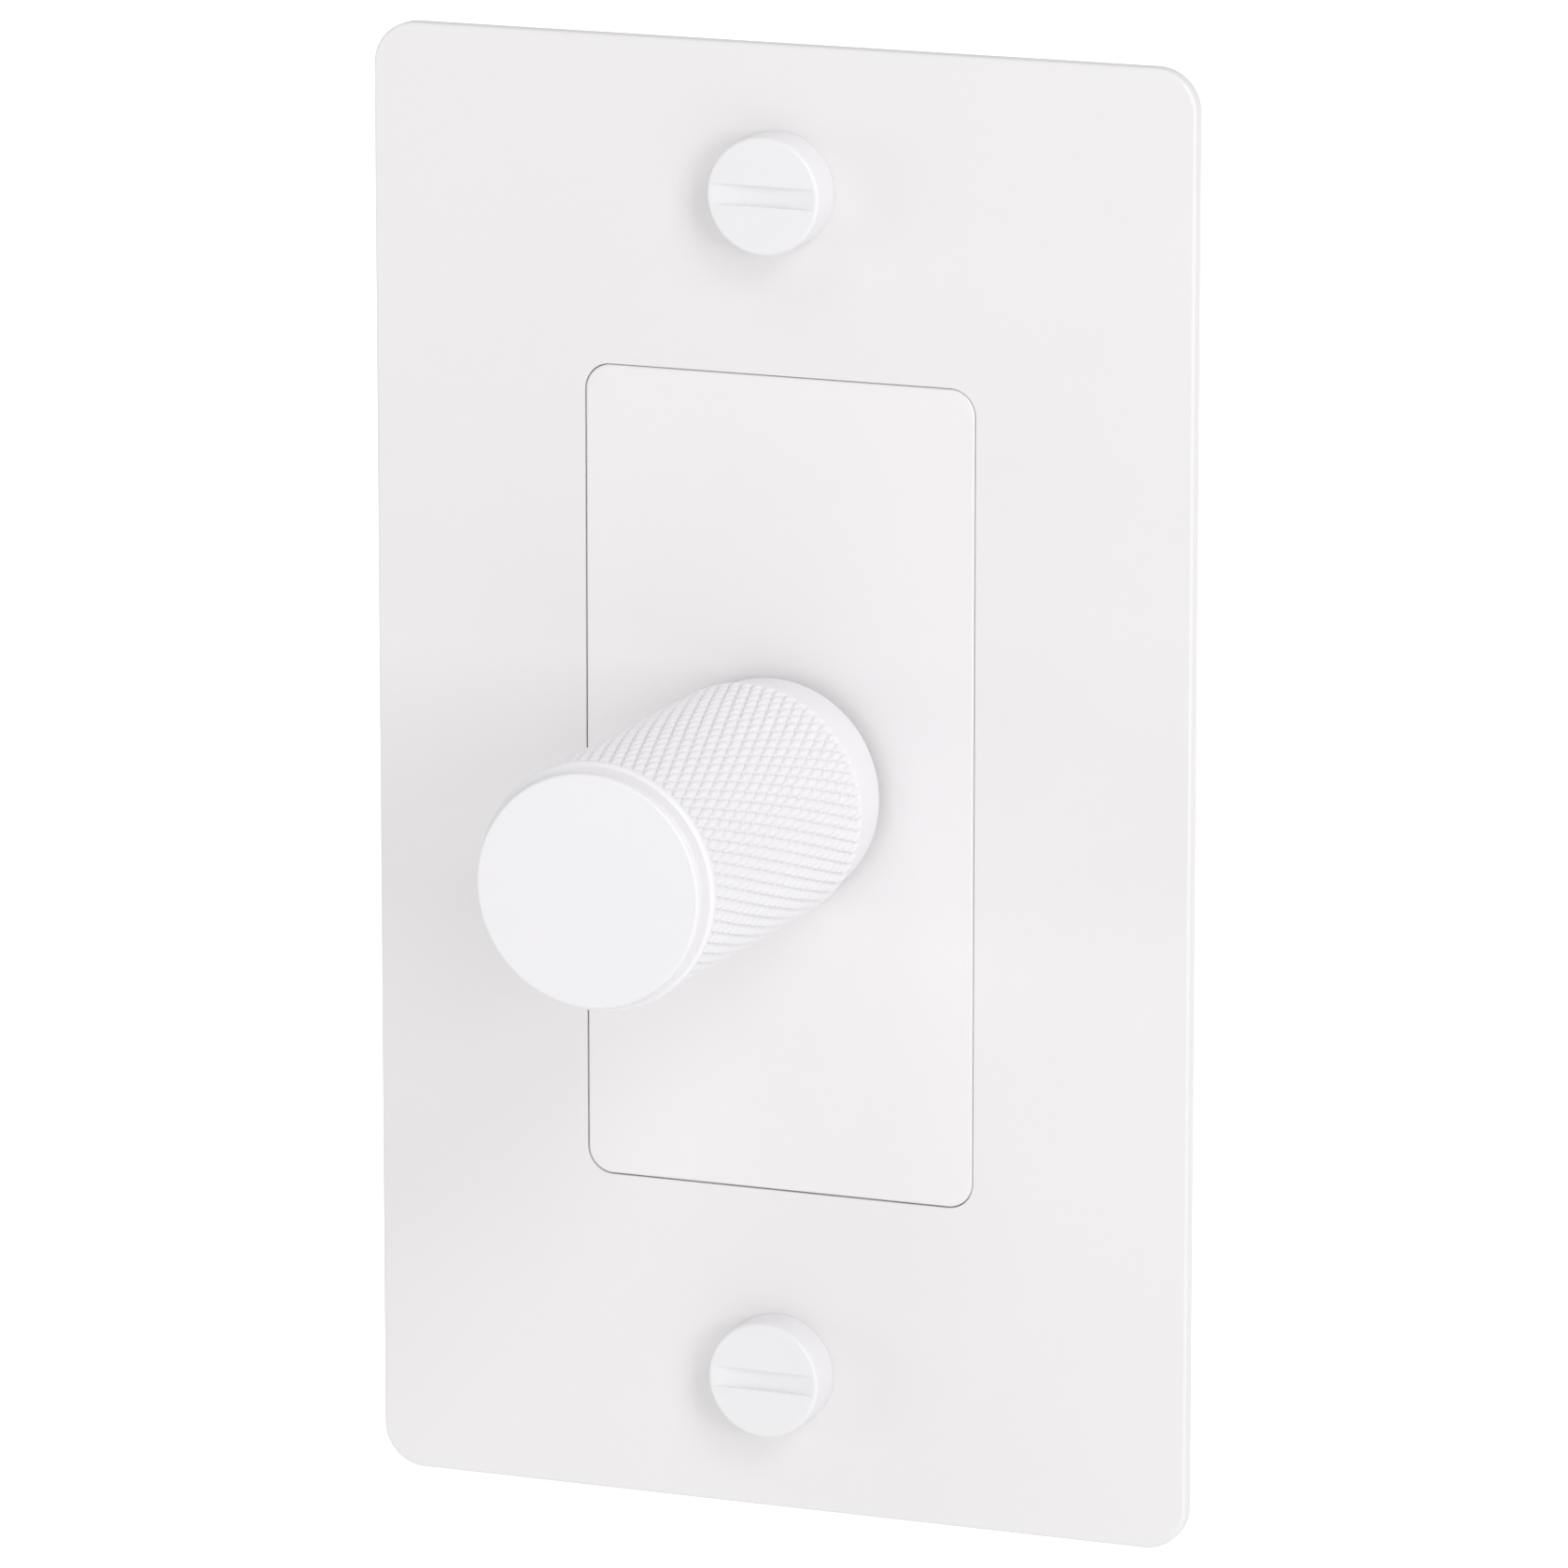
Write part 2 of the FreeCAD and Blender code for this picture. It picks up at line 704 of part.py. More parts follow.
def make_shaft():
    blank = turned([
        ("0", "-shaft_front"),
        ("shaft_radius - shaft_bevel", "-shaft_front"),
        ("shaft_radius", "-shaft_front + shaft_bevel"),
        ("shaft_radius", CLIP_FRONT),
        ("clip_groove_radius", CLIP_FRONT),
        ("clip_groove_radius", f"{CLIP_FRONT} + clip_thick"),
        ("shaft_radius", f"{CLIP_FRONT} + clip_thick"),
        ("shaft_radius", "shaft_key_back"),
        ("shaft_tip_radius", "shaft_key_back"),
        ("shaft_tip_radius", "shaft_tip_back - shaft_bevel"),
        ("shaft_tip_radius - shaft_bevel", "shaft_tip_back"),
        ("0", "shaft_tip_back"),
    ])
    flat = block(
        "2 * shaft_radius", "shaft_flat_length", "shaft_radius", "0", "-shaft_front",
        "shaft_flat + shaft_radius / 2",
    )
    keys = [
        block(
            "shaft_radius", "shaft_key_back - shaft_key_front", "2 * shaft_radius",
            f"{side}(shaft_key_half + shaft_radius / 2)", "shaft_key_front", "0",
        )
        for side in ("", "-")
    ]
    node("shaft", cut(blank, flat, *keys))


def make_shaft_clip():
    whole = ring("clip_groove_radius", "clip_radius", "clip_thick", CLIP_FRONT)
    mouth_z = "-clip_radius / 2 - clip_mouth"
    mouth = block("clip_radius", "clip_thick", "clip_radius", "0", CLIP_FRONT, mouth_z)
    node("shaft_clip", cut(whole, mouth))


def make_shaft_bush():
    front = f"({NUT_FRONT} - bush_stand_out)"
    bore = "shaft_radius + running_gap"
    node("shaft_bush", turned([
        (bore, front),
        ("bush_radius - bush_bevel", front),
        ("bush_radius", f"{front} + bush_bevel"),
        ("bush_radius", STRAP_BACK),
        ("bush_flange_radius", STRAP_BACK),
        ("bush_flange_radius", FLANGE_BACK),
        (bore, FLANGE_BACK),
    ]))


def make_bush_nut():
    corner = "nut_across_corners / 2"
    back = "-plate_thick - washer_thick"
    hexagon = bind(doc.addObject("Part::Prism", "hexagon"), Circumradius=corner, Height="nut_thick")
    hexagon.Polygon = 6
    place(hexagon, "0", NUT_FRONT, "0", ALONG["y"])
    rounding = turned([
        ("0", NUT_FRONT),
        (f"{corner} - nut_bevel", NUT_FRONT),
        (corner, f"{NUT_FRONT} + nut_bevel_depth"),
        (corner, back),
        ("0", back),
    ])
    hole = rod("bush_radius + stop_gap", "nut_thick", "0", NUT_FRONT)
    node("bush_nut", cut(both(hexagon, rounding), hole))


def make_lock_washer():
    front = "-plate_thick - washer_thick"
    whole = ring("bush_radius + stop_gap", "washer_radius", "washer_thick", front)
    notches = []
    start = FreeCAD.Vector(worth("washer_radius - notch_reach"), worth(front), worth("-notch_width / 2"))
    for number in range(WASHER_NOTCHES):
        notch = doc.addObject("Part::Box", "notch")
        bind(notch, Length="2 * notch_reach", Width="washer_thick", Height="notch_width")
        turn = FreeCAD.Rotation(FreeCAD.Vector(0, 1, 0), number * 360 / WASHER_NOTCHES)
        notch.Placement = FreeCAD.Placement(turn.multVec(start), turn)
        notches.append(notch)
    node("lock_washer", cut(whole, *notches))


# Potentiometer

def make_pot_housing():
    shell = turned([
        ("bush_flange_radius + stop_gap", STRAP_BACK),
        ("pot_radius", STRAP_BACK),
        ("pot_radius", "pot_back"),
        ("pot_inside_radius", "pot_back"),
        ("pot_inside_radius", f"{STRAP_BACK} + pot_front_wall"),
        ("bush_flange_radius + stop_gap", f"{STRAP_BACK} + pot_front_wall"),
    ])
    y = "wafer_front - pot_pin_thick - hole_play"
    wide = "2 * (pot_pin_pitch + pot_pin_width)"
    slot = block(wide, "pot_pin_thick + hole_play", "pot_slot_height", "0", y, "-pot_radius")
    node("pot_housing", cut(shell, slot))


def make_pot_inside():
    node("pot_wafer", ring("wafer_hole", "pot_inside_radius", "wafer_thick", "wafer_front"))
    track = sector("track_inner", "track_outer", "track_thick", WAFER_BACK, "0", "track_span")
    node("carbon_track", track)
    node("collector_ring", ring("collector_inner", "collector_outer", "track_thick", WAFER_BACK))
    pins = []
    for x in ("-pot_pin_pitch", "0", "pot_pin_pitch"):
        y = "(wafer_front - pot_pin_thick)"
        drop = "(pot_pin_drop - pot_pin_top)"
        strip = block("pot_pin_width", "pot_pin_thick", drop, x, y, f"-pot_pin_top - {drop} / 2")
        tail_z = "-pot_pin_drop + pot_pin_width / 2"
        tail = block("pot_pin_width", f"lead_end - {y}", "pot_pin_width", x, y, tail_z)
        pins.append(fuse(strip, tail))
    node("pot_terminals", group(*pins))
    cover = ring("shaft_radius + pot_cover_play", "pot_radius", "pot_cover_thick", "pot_back")
    stop = sector("lug_inner", "lug_outer", "pot_back - stop_front", "stop_front", "180", "stop_span")
    node("pot_cover", fuse(cover, stop))


def make_pot_rotor():
    """Wiper carrier.  It sits at the low end of its turn, with its lug against the stop."""
    rest = "180 + (360 - turn_range) / 2"
    hub = rod("hub_radius", "hub_back - hub_front", "0", "hub_front")
    disc = rod("rotor_radius", "rotor_thick", "0", "rotor_front")
    lug_front = "(rotor_front + rotor_thick)"
    lug = sector("lug_inner", "lug_outer", f"lug_back - {lug_front}", lug_front, rest, "lug_span")
    length = "(hub_back - hub_front)"
    hole = rod("shaft_radius + running_gap", length, "0", "hub_front")
    across = "2 * (shaft_key_half + running_gap)"
    keyway = both(hole, block(across, length, "2 * hub_radius", "0", "hub_front"))
    node("pot_rotor", cut(fuse(hub, disc, lug), keyway))
    plate_front = "(rotor_front - wiper_thick)"
    tip_front = f"({WAFER_BACK} + track_thick + stop_gap)"
    reach = f"({plate_front} - {tip_front} + wiper_thick)"
    middle = "hub_radius + wiper_collar / 2"
    outer = "track_outer - wiper_inset"
    parts = [
        ring("hub_radius", "hub_radius + wiper_collar", "wiper_thick", plate_front),
        sector(middle, outer, "wiper_thick", plate_front, rest, "wiper_arm_span"),
        sector("track_inner + wiper_inset", outer, reach, tip_front, rest, "wiper_track_span"),
        sector("collector_inner", "collector_outer", reach, tip_front, rest, "wiper_ring_span"),
    ]
    node("wiper", fuse(*parts))


# Push switch

def make_switch_case():
    lid = block("switch_width", "switch_lid_thick", "switch_height", "0", COVER_BACK)
    nose_hole = rod("nose_radius + running_gap", "switch_lid_thick", "0", COVER_BACK)
    node("switch_lid", cut(lid, nose_hole))
    depth = f"switch_back - {LID_BACK}"
    case = block("switch_width", depth, "switch_height", "0", LID_BACK)
    hollow = block(
        "switch_width - 2 * switch_wall", f"{SWITCH_FLOOR} - {LID_BACK}", "switch_height - 2 * switch_wall",
        "0", LID_BACK,
    )
    slots = [
        block(
            "contact_leg_thick + 2 * hole_play", "switch_wall", "contact_width + 2 * hole_play",
            f"{side}(contact_leg + contact_leg_thick / 2)", SWITCH_FLOOR, "contact_height",
        )
        for side in ("", "-")
    ]
    node("switch_housing", cut(case, hollow, *slots))


def make_plunger():
    front = "(shaft_tip_back + stop_gap)"
    nose = rod("nose_radius", f"{FLANGE_FRONT} - {front}", "0", front)
    flange = block(
        "flange_width", "flange_thick", "flange_low + flange_high", "0", FLANGE_FRONT,
        "(flange_high - flange_low) / 2",
    )
    spigot = rod("spigot_radius", "spigot_length", "0", PLUNGER_BACK)
    node("switch_plunger", fuse(nose, flange, spigot))
    length = "2 * contact_spread + contact_width"
    strip = block(length, "contact_thick", "contact_width", "0", PLUNGER_BACK, "contact_height")
    button_front = f"{PLUNGER_BACK} + contact_thick"
    buttons = [
        rod("button_radius", "button_thick", f"{side}contact_spread", button_front, "contact_height")
        for side in ("", "-")
    ]
    node("moving_contact", fuse(strip, *buttons))


def make_fixed_contacts():
    """Two strips whose buttons the bridge meets at the end of the push."""
    front = f"({PLUNGER_BACK} + contact_thick + button_thick + push_travel + stop_gap)"
    strip_front = f"({front} + button_thick)"
    pieces = []
    for side in ("", "-"):
        button = rod("button_radius", "button_thick", f"{side}contact_spread", front, "contact_height")
        reach = "contact_leg + contact_leg_thick - contact_spread + contact_width / 2"
        middle = "((contact_leg + contact_leg_thick + contact_spread - contact_width / 2) / 2)"
        strip_x = f"{side}{middle}"
        strip = block(reach, "contact_thick", "contact_width", strip_x, strip_front, "contact_height")
        leg_x = f"{side}(contact_leg + contact_leg_thick / 2)"
        lengths = {
            "contact_width": f"switch_back + contact_shoulder - {strip_front}",
            "contact_tail": f"lead_end - {strip_front}",
        }
        legs = [
            block("contact_leg_thick", length, width, leg_x, strip_front, "contact_height")
            for width, length in lengths.items()
        ]
        pieces.append(fuse(button, strip, *legs))
    node("fixed_contacts", group(*pieces))


def make_switch_spring():
    """Return spring between the plunger's flange and the switch floor."""
    start = worth(f"{PLUNGER_BACK} + spring_wire")
    end = worth(f"{SWITCH_FLOOR} - spring_wire")
    turns = worth("spring_turns")
    radius = worth("spring_radius")
    helix = Part.makeHelix((end - start) / turns, end - start, radius)
    section = Part.Wire(Part.makeCircle(
        worth("spring_wire"), FreeCAD.Vector(radius, 0, 0), FreeCAD.Vector(0, 1, 0)
    ))
    spring = doc.addObject("Part::Feature", "spring")
    spring.Shape = Part.Wire(helix).makePipeShell([section], True, True)
    spring.Placement = FreeCAD.Placement(FreeCAD.Vector(0, start, 0), ALONG["y"])
    node("switch_spring", spring)


# Housing

def terminal_box(side, z, low, high, y, deep, tall):
    """A box beside one of the housing's two walls, given by its distances from the middle."""
    return block(f"({high}) - ({low})", deep, tall, f"{side}((({low}) + ({high})) / 2)", y, z)


def terminal_rod(side, z, radius, low, high):
    """A cylinder on a terminal screw's axis, given by its distances from the middle."""
    start = low if side == "" else f"-({high})"
    return rod(radius, f"({high}) - ({low})", start, TERMINAL_Y, z, "x")


def make_housing_shell():
    """The open box, with a sunk panel and a strip gauge in its back."""
    body = body_at(HOUSING_BACK)
    outline = sketch_on(body, "XZ_Plane")
    rounded_rectangle(outline, "housing_width", "housing_height", "housing_corner")
    pad(body, outline, "housing_depth")
    bevel(body, "housing_back_round", lambda edge: flat_at(edge, 0), "Fillet")
    panel = sketch_on(body, "XZ_Plane")
    rounded_rectangle(panel, "panel_width", "panel_height", "panel_corner")
    pocket(body, panel, "panel_depth")
    hollow = body_at(HOUSING_FLOOR)
    inside = sketch_on(hollow, "XZ_Plane")
    rounded_rectangle(
        inside, "housing_width - 2 * housing_wall", "housing_height - 2 * housing_wall",
        "housing_inner_corner",
    )
    pad(hollow, inside, "housing_depth - housing_wall")
    gauge = block(
        "gauge_length", "gauge_depth", "gauge_width", "0", f"{HOUSING_BACK} - gauge_depth", "-gauge_z",
    )
    return cut(body, hollow, gauge)


def make_housing():
    screw_places = corners("boss_x", "boss_z")
    board_places = corners("board_screw_x", "board_screw_z")
    pillar = f"{HOUSING_FLOOR} - {BOARD_BACK}"
    bosses = [rod("boss_radius", "boss_length", x, STRAP_BACK, z) for x, z in screw_places]
    pillars = [rod("pillar_radius", pillar, x, BOARD_BACK, z) for x, z in board_places]
    holes = [
        rod("case_screw_radius + stop_gap", "boss_length", x, STRAP_BACK, z) for x, z in screw_places
    ]
    holes += [
        rod("board_screw_radius + stop_gap", pillar, x, BOARD_BACK, z) for x, z in board_places
    ]
    seat = f"{SIDE} - terminal_thick"
    leg_front = "terminal_front + terminal_depth - terminal_thick"
    blocks = []
    for side, z in TERMINALS:
        blocks.append(terminal_box(
            side, z, "terminal_boss_x", seat, "terminal_front",
            f"{leg_front} - terminal_rest_gap - terminal_front", "terminal_width",
        ))
        holes.append(terminal_box(
            side, z, seat, SIDE, "terminal_front - hole_play",
            "terminal_depth + 2 * hole_play", "terminal_width + 2 * hole_play",
        ))
        holes.append(terminal_box(
            side, z, f"{SIDE} - housing_wall", SIDE, f"{leg_front} - hole_play",
            "terminal_thick + 2 * hole_play", "terminal_leg_width + 2 * hole_play",
        ))
        bottom = f"{SIDE} - terminal_hole_depth"
        holes.append(terminal_rod(side, z, "terminal_screw_radius + hole_play", bottom, SIDE))
    for number in range(VENTS):
        offset = number - (VENTS - 1) / 2
        y = f"{STRAP_BACK} + housing_depth / 2 + {offset} * vent_pitch"
        holes.append(block("vent_length", "vent_width", "housing_height", "0", y))
    node("rear_housing", cut(fuse(make_housing_shell(), *bosses, *pillars, *blocks), *holes))


def make_terminals():
    plates = []
    screws = []
    inside = f"{SIDE} - terminal_thick"
    leg_y = "(terminal_front + terminal_depth - terminal_thick)"
    tail_x = "terminal_leg_x + terminal_thick"
    top = f"{SIDE} + terminal_head_thick"
    slot_y = f"{TERMINAL_Y} - screw_slot_width / 2"
    for side, z in TERMINALS:
        LEGS.append((f"{side}(terminal_leg_x + terminal_thick / 2)", z))
        pieces = [
            terminal_box(side, z, inside, SIDE, "terminal_front", "terminal_depth", "terminal_width"),
            terminal_box(side, z, "terminal_leg_x", SIDE, leg_y, "terminal_thick", "terminal_leg_width"),
            terminal_box(side, z, "terminal_leg_x", tail_x, leg_y, f"lead_end - {leg_y}", "terminal_tail"),
        ]
        hole = terminal_rod(side, z, "terminal_screw_radius + stop_gap", inside, SIDE)
        plates.append(cut(fuse(*pieces), hole))
        head = terminal_rod(side, z, "terminal_head_radius", SIDE, top)
        shank = terminal_rod(side, z, "terminal_screw_radius", f"{SIDE} - terminal_screw_length", SIDE)
        slot = terminal_box(
            side, z, f"{top} - screw_slot_depth", top, slot_y, "screw_slot_width",
            "2 * terminal_head_radius",
        )
        screws.append(cut(fuse(head, shank), slot))
    node("terminal_plates", group(*plates))
    node("terminal_screws", group(*screws))


# Fasteners behind the plate

def make_case_screws():
    screws = []
    for x, z in corners("boss_x", "boss_z"):
        depth = "(case_screw_head - case_screw_radius)"
        head = cone("case_screw_head", "case_screw_radius", depth, x, STRAP_FRONT, z)
        shank = rod("case_screw_radius", f"case_screw_length - {depth}", x, f"{STRAP_FRONT} + {depth}", z)
        screws.append(cut(fuse(head, shank), *cross_recess(x, z, STRAP_FRONT, "case_screw_head")))
    node("case_screws", group(*screws))


def make_board_screws():
    screws = []
    for x, z in corners("board_screw_x", "board_screw_z"):
        y = "(board_front - board_screw_head_thick)"
        head = rod("board_screw_head", "board_screw_head_thick", x, y, z)
        length = f"{HOUSING_FLOOR} - screw_end_gap - board_front"
        shank = rod("board_screw_radius", length, x, "board_front", z)
        screws.append(cut(fuse(head, shank), *cross_recess(x, z, y, "board_screw_head")))
    node("board_screws", group(*screws))


def make_earth_screw():
    at = ("-earth_x", STRAP_BACK, "-earth_z")
    head = rod("earth_head_radius", "earth_head_thick", *at)
    length = f"{STRAP_BACK} - {SHANK_FRONT}"
    shank = rod("terminal_screw_radius", length, "-earth_x", SHANK_FRONT, "-earth_z")
    slot_y = f"{STRAP_BACK} + earth_head_thick - screw_slot_depth"
    slot = block(
        "2 * earth_head_radius", "screw_slot_depth", "screw_slot_width", "-earth_x", slot_y, "-earth_z",
    )
    node("earth_screw", cut(fuse(head, shank), slot))


# Circuit board and its components

def lead(x, z, y):
    """A wire lead that runs back from y, through the board."""
    LEADS.append((x, z))
    return rod("lead_radius", f"lead_end - ({y})", x, y, z)


def make_triac():
    """Power device, held flat against the strap through a soft insulating pad."""
    middle_z = "(triac_low + triac_height / 2)"
    insulator = block(
        "triac_width + 2 * pad_margin", "pad_thick", "triac_height + pad_margin", "-triac_x", STRAP_BACK,
        middle_z,
    )
    hole = rod("triac_hole", "pad_thick + triac_tab_thick", "-triac_x", STRAP_BACK, "triac_screw_z")
    node("triac_pad", cut(insulator, hole))
    node("triac_body", block(
        "triac_width", "triac_thick - triac_tab_thick", "triac_body_height", "-triac_x", TAB_BACK,
        "triac_low + triac_body_height / 2",
    ))
    tab = block("triac_width", "triac_tab_thick", "triac_height", "-triac_x", PAD_BACK, middle_z)
    node("triac_tab", cut(tab, hole))
    legs = []
    y = f"({PAD_BACK} + triac_leg_back)"
    tail_z = "triac_low - triac_leg_drop + triac_leg_thick / 2"
    for number in (-1, 0, 1):
        x = f"-triac_x + {number} * triac_leg_pitch"
        drop_z = "triac_low - triac_leg_drop / 2"
        drop = block("triac_leg_width", "triac_leg_thick", "triac_leg_drop", x, y, drop_z)
        tail = block("triac_leg_width", f"lead_end - {y}", "triac_leg_thick", x, y, tail_z)
        LEGS.append((x, tail_z))
        legs.append(fuse(drop, tail))
    node("triac_legs", group(*legs))
    head = rod("triac_screw_head", "triac_screw_head_thick", "-triac_x", TAB_BACK, "triac_screw_z")
    length = f"{TAB_BACK} - {SHANK_FRONT}"
    shank = rod("triac_screw_radius", length, "-triac_x", SHANK_FRONT, "triac_screw_z")
    recess_y = f"{TAB_BACK} + triac_screw_head_thick - recess_depth"
    recess = cross_recess("-triac_x", "triac_screw_z", recess_y, "triac_screw_head")
    node("triac_screw", cut(fuse(head, shank), *recess))


def make_choke():
    start = "(choke_x - choke_length / 2)"
    inner = "(choke_length - 2 * choke_flange_thick)"
    core = rod("choke_core", inner, f"{start} + choke_flange_thick", "choke_y", "choke_z", "x")
    cheeks = [
        rod("choke_flange", "choke_flange_thick", x, "choke_y", "choke_z", "x")
        for x in (start, f"{start} + choke_length - choke_flange_thick")
    ]
    node("choke_core", fuse(core, *cheeks))
    at = (f"{start} + choke_flange_thick", "choke_y", "choke_z", "x")
    coil = cut(rod("choke_winding", inner, *at), rod("choke_core", inner, *at))
    tail_front = "choke_y + choke_winding - 2 * lead_radius"
    tails = [lead(f"choke_x {side} choke_lead_pitch / 2", "choke_z", tail_front) for side in "+-"]
    node("choke_winding", fuse(coil, *tails))


def make_film_capacitor():
    y = f"{LEAD_START} - film_depth"
    brick = block("film_length", "film_depth", "film_height", "0", y, "-film_z")
    rounded = doc.addObject("Part::Fillet", "rounded")
    rounded.Base = brick
    rounded.Edges = [(number, worth("film_round"), worth("film_round")) for number in range(1, 13)]
    node("film_capacitor", rounded)
    leads = [lead(f"{side}film_lead_pitch / 2", "-film_z", LEAD_START) for side in ("", "-")]
    node("film_capacitor_leads", group(*leads))


def make_fuse():
    y = f"{LEAD_START} - fuse_height"
    node("fuse_body", rod("fuse_radius", "fuse_height", "fuse_x", y, "-fuse_z"))
    leads = [lead("fuse_x", f"-fuse_z {side} fuse_lead_pitch / 2", LEAD_START) for side in "+-"]
    node("fuse_leads", group(*leads))


def make_disc_capacitors():
    discs = []
    leads = []
    y = "(board_front - disc_radius - disc_stand)"
    for z in ("disc_low", "disc_high"):
        discs.append(rod("disc_radius", "disc_thick", "-disc_x", y, f"{z} - disc_thick / 2", "z"))
        for side in "+-":
            x = f"-disc_x {side} disc_lead_pitch / 2"
            start = f"{y} + sqrt(disc_radius ^ 2 - (disc_lead_pitch / 2 - lead_radius) ^ 2)"
            leads.append(lead(x, z, start))
    node("disc_capacitors", group(*discs))
    node("disc_capacitor_leads", group(*leads))


def elbow(x, z, up):
    """A quarter bend that takes a lead from along Z to along Y."""
    bend = bind(doc.addObject("Part::Torus", "elbow"), Radius1="lead_bend", Radius2="lead_radius")
    bend.Angle3 = 90
    turn = FreeCAD.Rotation(
        FreeCAD.Vector(0, -1, 0), FreeCAD.Vector(0, 0, up), FreeCAD.Vector(-up, 0, 0), "ZXY"
    )
    return place(bend, x, "axial_y + lead_bend", z, turn)


def make_axial(name, places, radius, length):
    """Parts that lie along the board, with a bent lead at each end."""
    bodies = []
    leads = []
    for x, z in places:
        bodies.append(rod(radius, length, x, "axial_y", f"{z} - {length} / 2", "z"))
        for side, up in (("+", 1), ("-", -1)):
            bend_z = f"({z} {side} ({length} / 2 + lead_stub))"
            near = f"{z} + {length} / 2" if up > 0 else bend_z
            stub = rod("lead_radius", "lead_stub", x, "axial_y", near, "z")
            end = f"({bend_z} {side} lead_bend)"
            leads.append(fuse(stub, elbow(x, bend_z, up), lead(x, end, "axial_y + lead_bend")))
    node(f"{name}_bodies", group(*bodies))
    node(f"{name}_leads", group(*leads))


def make_board():
    body = body_at(BOARD_BACK)
    outline = sketch_on(body, "XZ_Plane")
    rounded_rectangle(outline, "board_width", "board_height", "strap_corner")
    pad(body, outline, "board_thick")
    LEGS.extend((x, "-pot_pin_drop + pot_pin_width / 2") for x in ("-pot_pin_pitch", "0", "pot_pin_pitch"))
    LEGS.extend((f"{side}(contact_leg + contact_leg_thick / 2)", "contact_height") for side in ("", "-"))
    holes = sketch_on(body, "XZ_Plane")
    for x, z in corners("board_screw_x", "board_screw_z"):
        circle(holes, "board_screw_radius + hole_play", x, z)
    for x, z in LEADS:
        circle(holes, "lead_hole", x, z)
    for x, z in LEGS:
        circle(holes, "leg_hole", x, z)
    pocket(body, holes, "board_thick")
    node("circuit_board", body)


make_face_plate()
make_centre_plate()
make_plate_screws()
make_mounting_strap()
make_knob_body()
make_knob_insert()
make_shaft()
make_shaft_clip()
make_shaft_bush()
make_bush_nut()
make_lock_washer()
make_pot_housing()
make_pot_inside()
make_pot_rotor()
make_switch_case()
make_plunger()
make_fixed_contacts()
make_switch_spring()
make_housing()
make_terminals()
make_case_screws()
make_board_screws()
make_earth_screw()
make_triac()
make_choke()
make_film_capacitor()
make_fuse()
make_disc_capacitors()
RESISTORS = [
    ("-resistor_inner_x", "-resistor_left_z"),
    ("-resistor_outer_x", "-resistor_left_z"),
    ("resistor_right_x", "axial_right_z"),
]
make_axial("resistor", RESISTORS, "resistor_radius", "resistor_length")
make_axial("diac", [("diac_x", "axial_right_z")], "diac_radius", "diac_length")
make_board()

doc.recompute()

for thing in doc.Objects:
    if "Invalid" in thing.State or "Error" in thing.State:
        raise RuntimeError(f"{thing.Label} ({thing.Name}) failed: {thing.State}")
for thing in NODES:
    if thing.Shape.isNull() or not thing.Shape.isValid() or not thing.Shape.Solids:
        raise RuntimeError(f"{thing.Label} has no valid solid")

os.makedirs("parts", exist_ok=True)
for thing in NODES:
    thing.Shape.exportStep(f"parts/{thing.Label}.step")
    print(f"{thing.Label}: {len(thing.Shape.Solids)} solids, {thing.Shape.Volume:.1f} mm3")
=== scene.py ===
import json
import math

import bmesh
import bpy
from mathutils import Matrix, Vector


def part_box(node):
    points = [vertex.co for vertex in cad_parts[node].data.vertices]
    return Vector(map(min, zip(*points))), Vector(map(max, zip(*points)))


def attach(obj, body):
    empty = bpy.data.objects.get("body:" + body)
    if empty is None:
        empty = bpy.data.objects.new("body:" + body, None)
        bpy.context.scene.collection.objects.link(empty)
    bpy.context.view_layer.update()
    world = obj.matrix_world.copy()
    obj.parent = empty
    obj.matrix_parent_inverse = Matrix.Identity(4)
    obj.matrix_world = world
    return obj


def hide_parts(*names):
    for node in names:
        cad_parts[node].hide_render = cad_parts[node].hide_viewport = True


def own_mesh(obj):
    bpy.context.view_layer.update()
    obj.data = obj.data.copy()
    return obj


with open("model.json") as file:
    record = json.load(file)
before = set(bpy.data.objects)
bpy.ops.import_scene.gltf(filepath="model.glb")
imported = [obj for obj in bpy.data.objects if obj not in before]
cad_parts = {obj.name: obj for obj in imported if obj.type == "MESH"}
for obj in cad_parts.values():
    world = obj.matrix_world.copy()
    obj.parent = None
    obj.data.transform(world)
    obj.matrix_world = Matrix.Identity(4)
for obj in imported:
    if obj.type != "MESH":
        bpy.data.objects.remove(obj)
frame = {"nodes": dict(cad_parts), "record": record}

# Rotary dimmer for a wall box, in metres, in the CAD's frame: +X right, +Z up, the knob points along -Y.
MM = 0.001
TAU = 2 * math.pi
SHARP_ANGLE = math.radians(38)      # edges that turn more than this are shaded hard
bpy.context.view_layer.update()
scene = bpy.context.scene


# ---------------------------------------------------------------- meshes

def fillet(points, steps=5):
    """Rounds a profile.  Each point is (radius, y) or (radius, y, corner radius), in mm."""
    out = []
    for number, point in enumerate(points):
        here = Vector(point[:2])
        size = point[2] if len(point) > 2 else 0
        if not size:
            out.append(here)
            continue
        before = (Vector(points[number - 1][:2]) - here).normalized()
        after = (Vector(points[number + 1][:2]) - here).normalized()
        half = before.angle(after) / 2
        reach = size / math.tan(half)
        centre = here + (before + after).normalized() * size / math.sin(half)
        start = here + before * reach - centre
        end = here + after * reach - centre
        turn = math.atan2(start.x * end.y - start.y * end.x, start.dot(end))
        for step in range(steps + 1):
            angle = turn * step / steps
            spoke = Matrix.Rotation(angle, 2) @ start
            out.append(centre + spoke)
    return [(point.x, point.y) for point in out]


